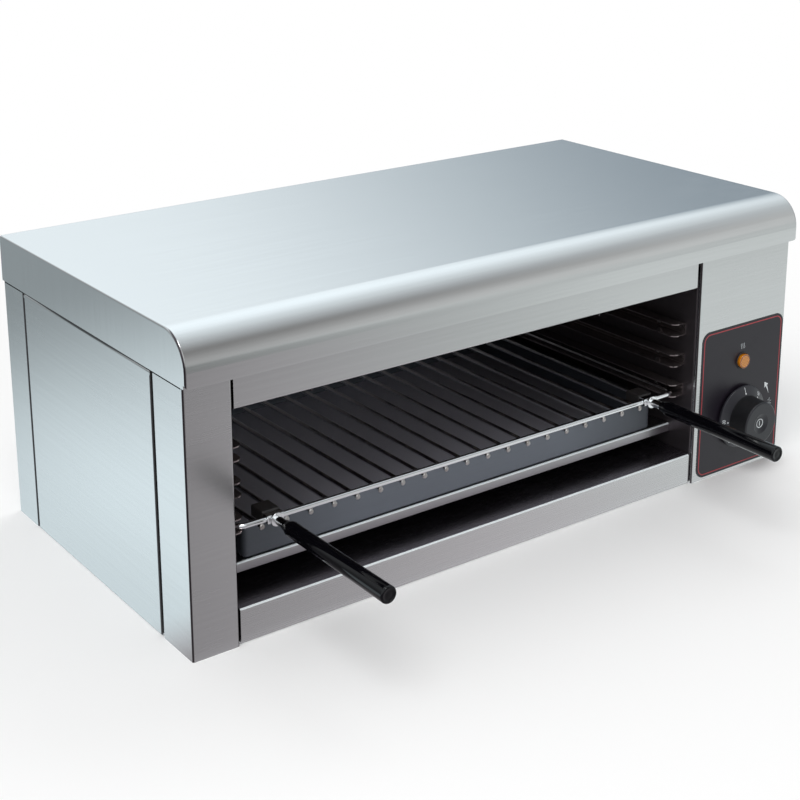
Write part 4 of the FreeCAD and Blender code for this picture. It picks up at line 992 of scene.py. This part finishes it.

# %% Side shade lines
side_low, side_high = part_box("left_side_panel")
_, right_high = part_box("right_side_panel")
groove_deep, groove_proud, groove_width, groove_lap = 2.0 * mm, 0.35 * mm, 1.8 * mm, 0.2 * mm
gap_deep, gap_proud, gap_below, gap_above, gap_sag = 1.2 * mm, 0.6 * mm, 1.6 * mm, 0.6 * mm, 2.6 * mm
shade_line_foot = side_low[2] + 2 * mm
for side, wall, outward in (("left", side_low[0], -1), ("right", right_high[0], 1)):
    near, far = sorted((wall - outward * groove_deep, wall + outward * groove_proud))
    shade_strip(side + "_back_groove_shade", (near, side_high[1] - groove_lap, shade_line_foot),
               (far, side_high[1] + 1.2 * mm, lid_low[2]))
    shade_strip(side + "_post_groove_shade", (near, side_low[1] + groove_lap - groove_width, shade_line_foot),
               (far, side_low[1] + groove_lap, lid_low[2]))
    near, far = sorted((wall - outward * gap_deep, wall + outward * gap_proud))
    shade_strip(side + "_lid_gap_shade", (near, side_low[1] + 1 * mm, lid_low[2] - gap_below),
               (far, side_high[1] - 1 * mm, lid_low[2] + gap_above), belly=gap_sag)

# %% [markdown]
# ## The screws at the back
#
# Each screw head has a cross recess, whose shade is painted as two short black bars that stand just proud of
# it. The screws' places are read from their solids: the heads are far apart, so a gap in the sorted X values
# parts one from the next.

# %% Screw crosses
# A printed line rises towards the front. These face the back, so height and sink have a minus sign.
cross_length, cross_width = 3.4 * mm, 0.8 * mm
cross_sink, cross_proud = 0.7 * mm, 0.04 * mm
heads_apart = 20 * mm
for node_name in ("lid_screws", "base_screws"):
    screws = frame["nodes"][node_name].data
    flat = np.empty(len(screws.vertices) * 3)
    screws.vertices.foreach_get("co", flat)
    sorted_x = np.sort(flat.reshape(-1, 3)[:, 0])
    heads = np.split(sorted_x, np.nonzero(np.diff(sorted_x) > heads_apart)[0] + 1)
    low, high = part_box(node_name)
    head_z = (low[2] + high[2]) / 2
    for count, head in enumerate(heads, 1):
        head_x = (head[0] + head[-1]) / 2
        reach = np.linspace(-cross_length / 2, cross_length / 2, 5)
        still = np.zeros(5)
        for arm, path in (("a", np.stack([head_x + reach, head_z + still], -1)),
                          ("b", np.stack([head_x + still, head_z + reach], -1))):
            # Painted shade of the recess: a short black bar.
            printed_line("%s_cross_%d%s" % (node_name, count, arm), path, stroke_outward(path), cross_width,
                         high[1], "shade_black", "casing", height=-cross_proud,
                         sink=-cross_sink)
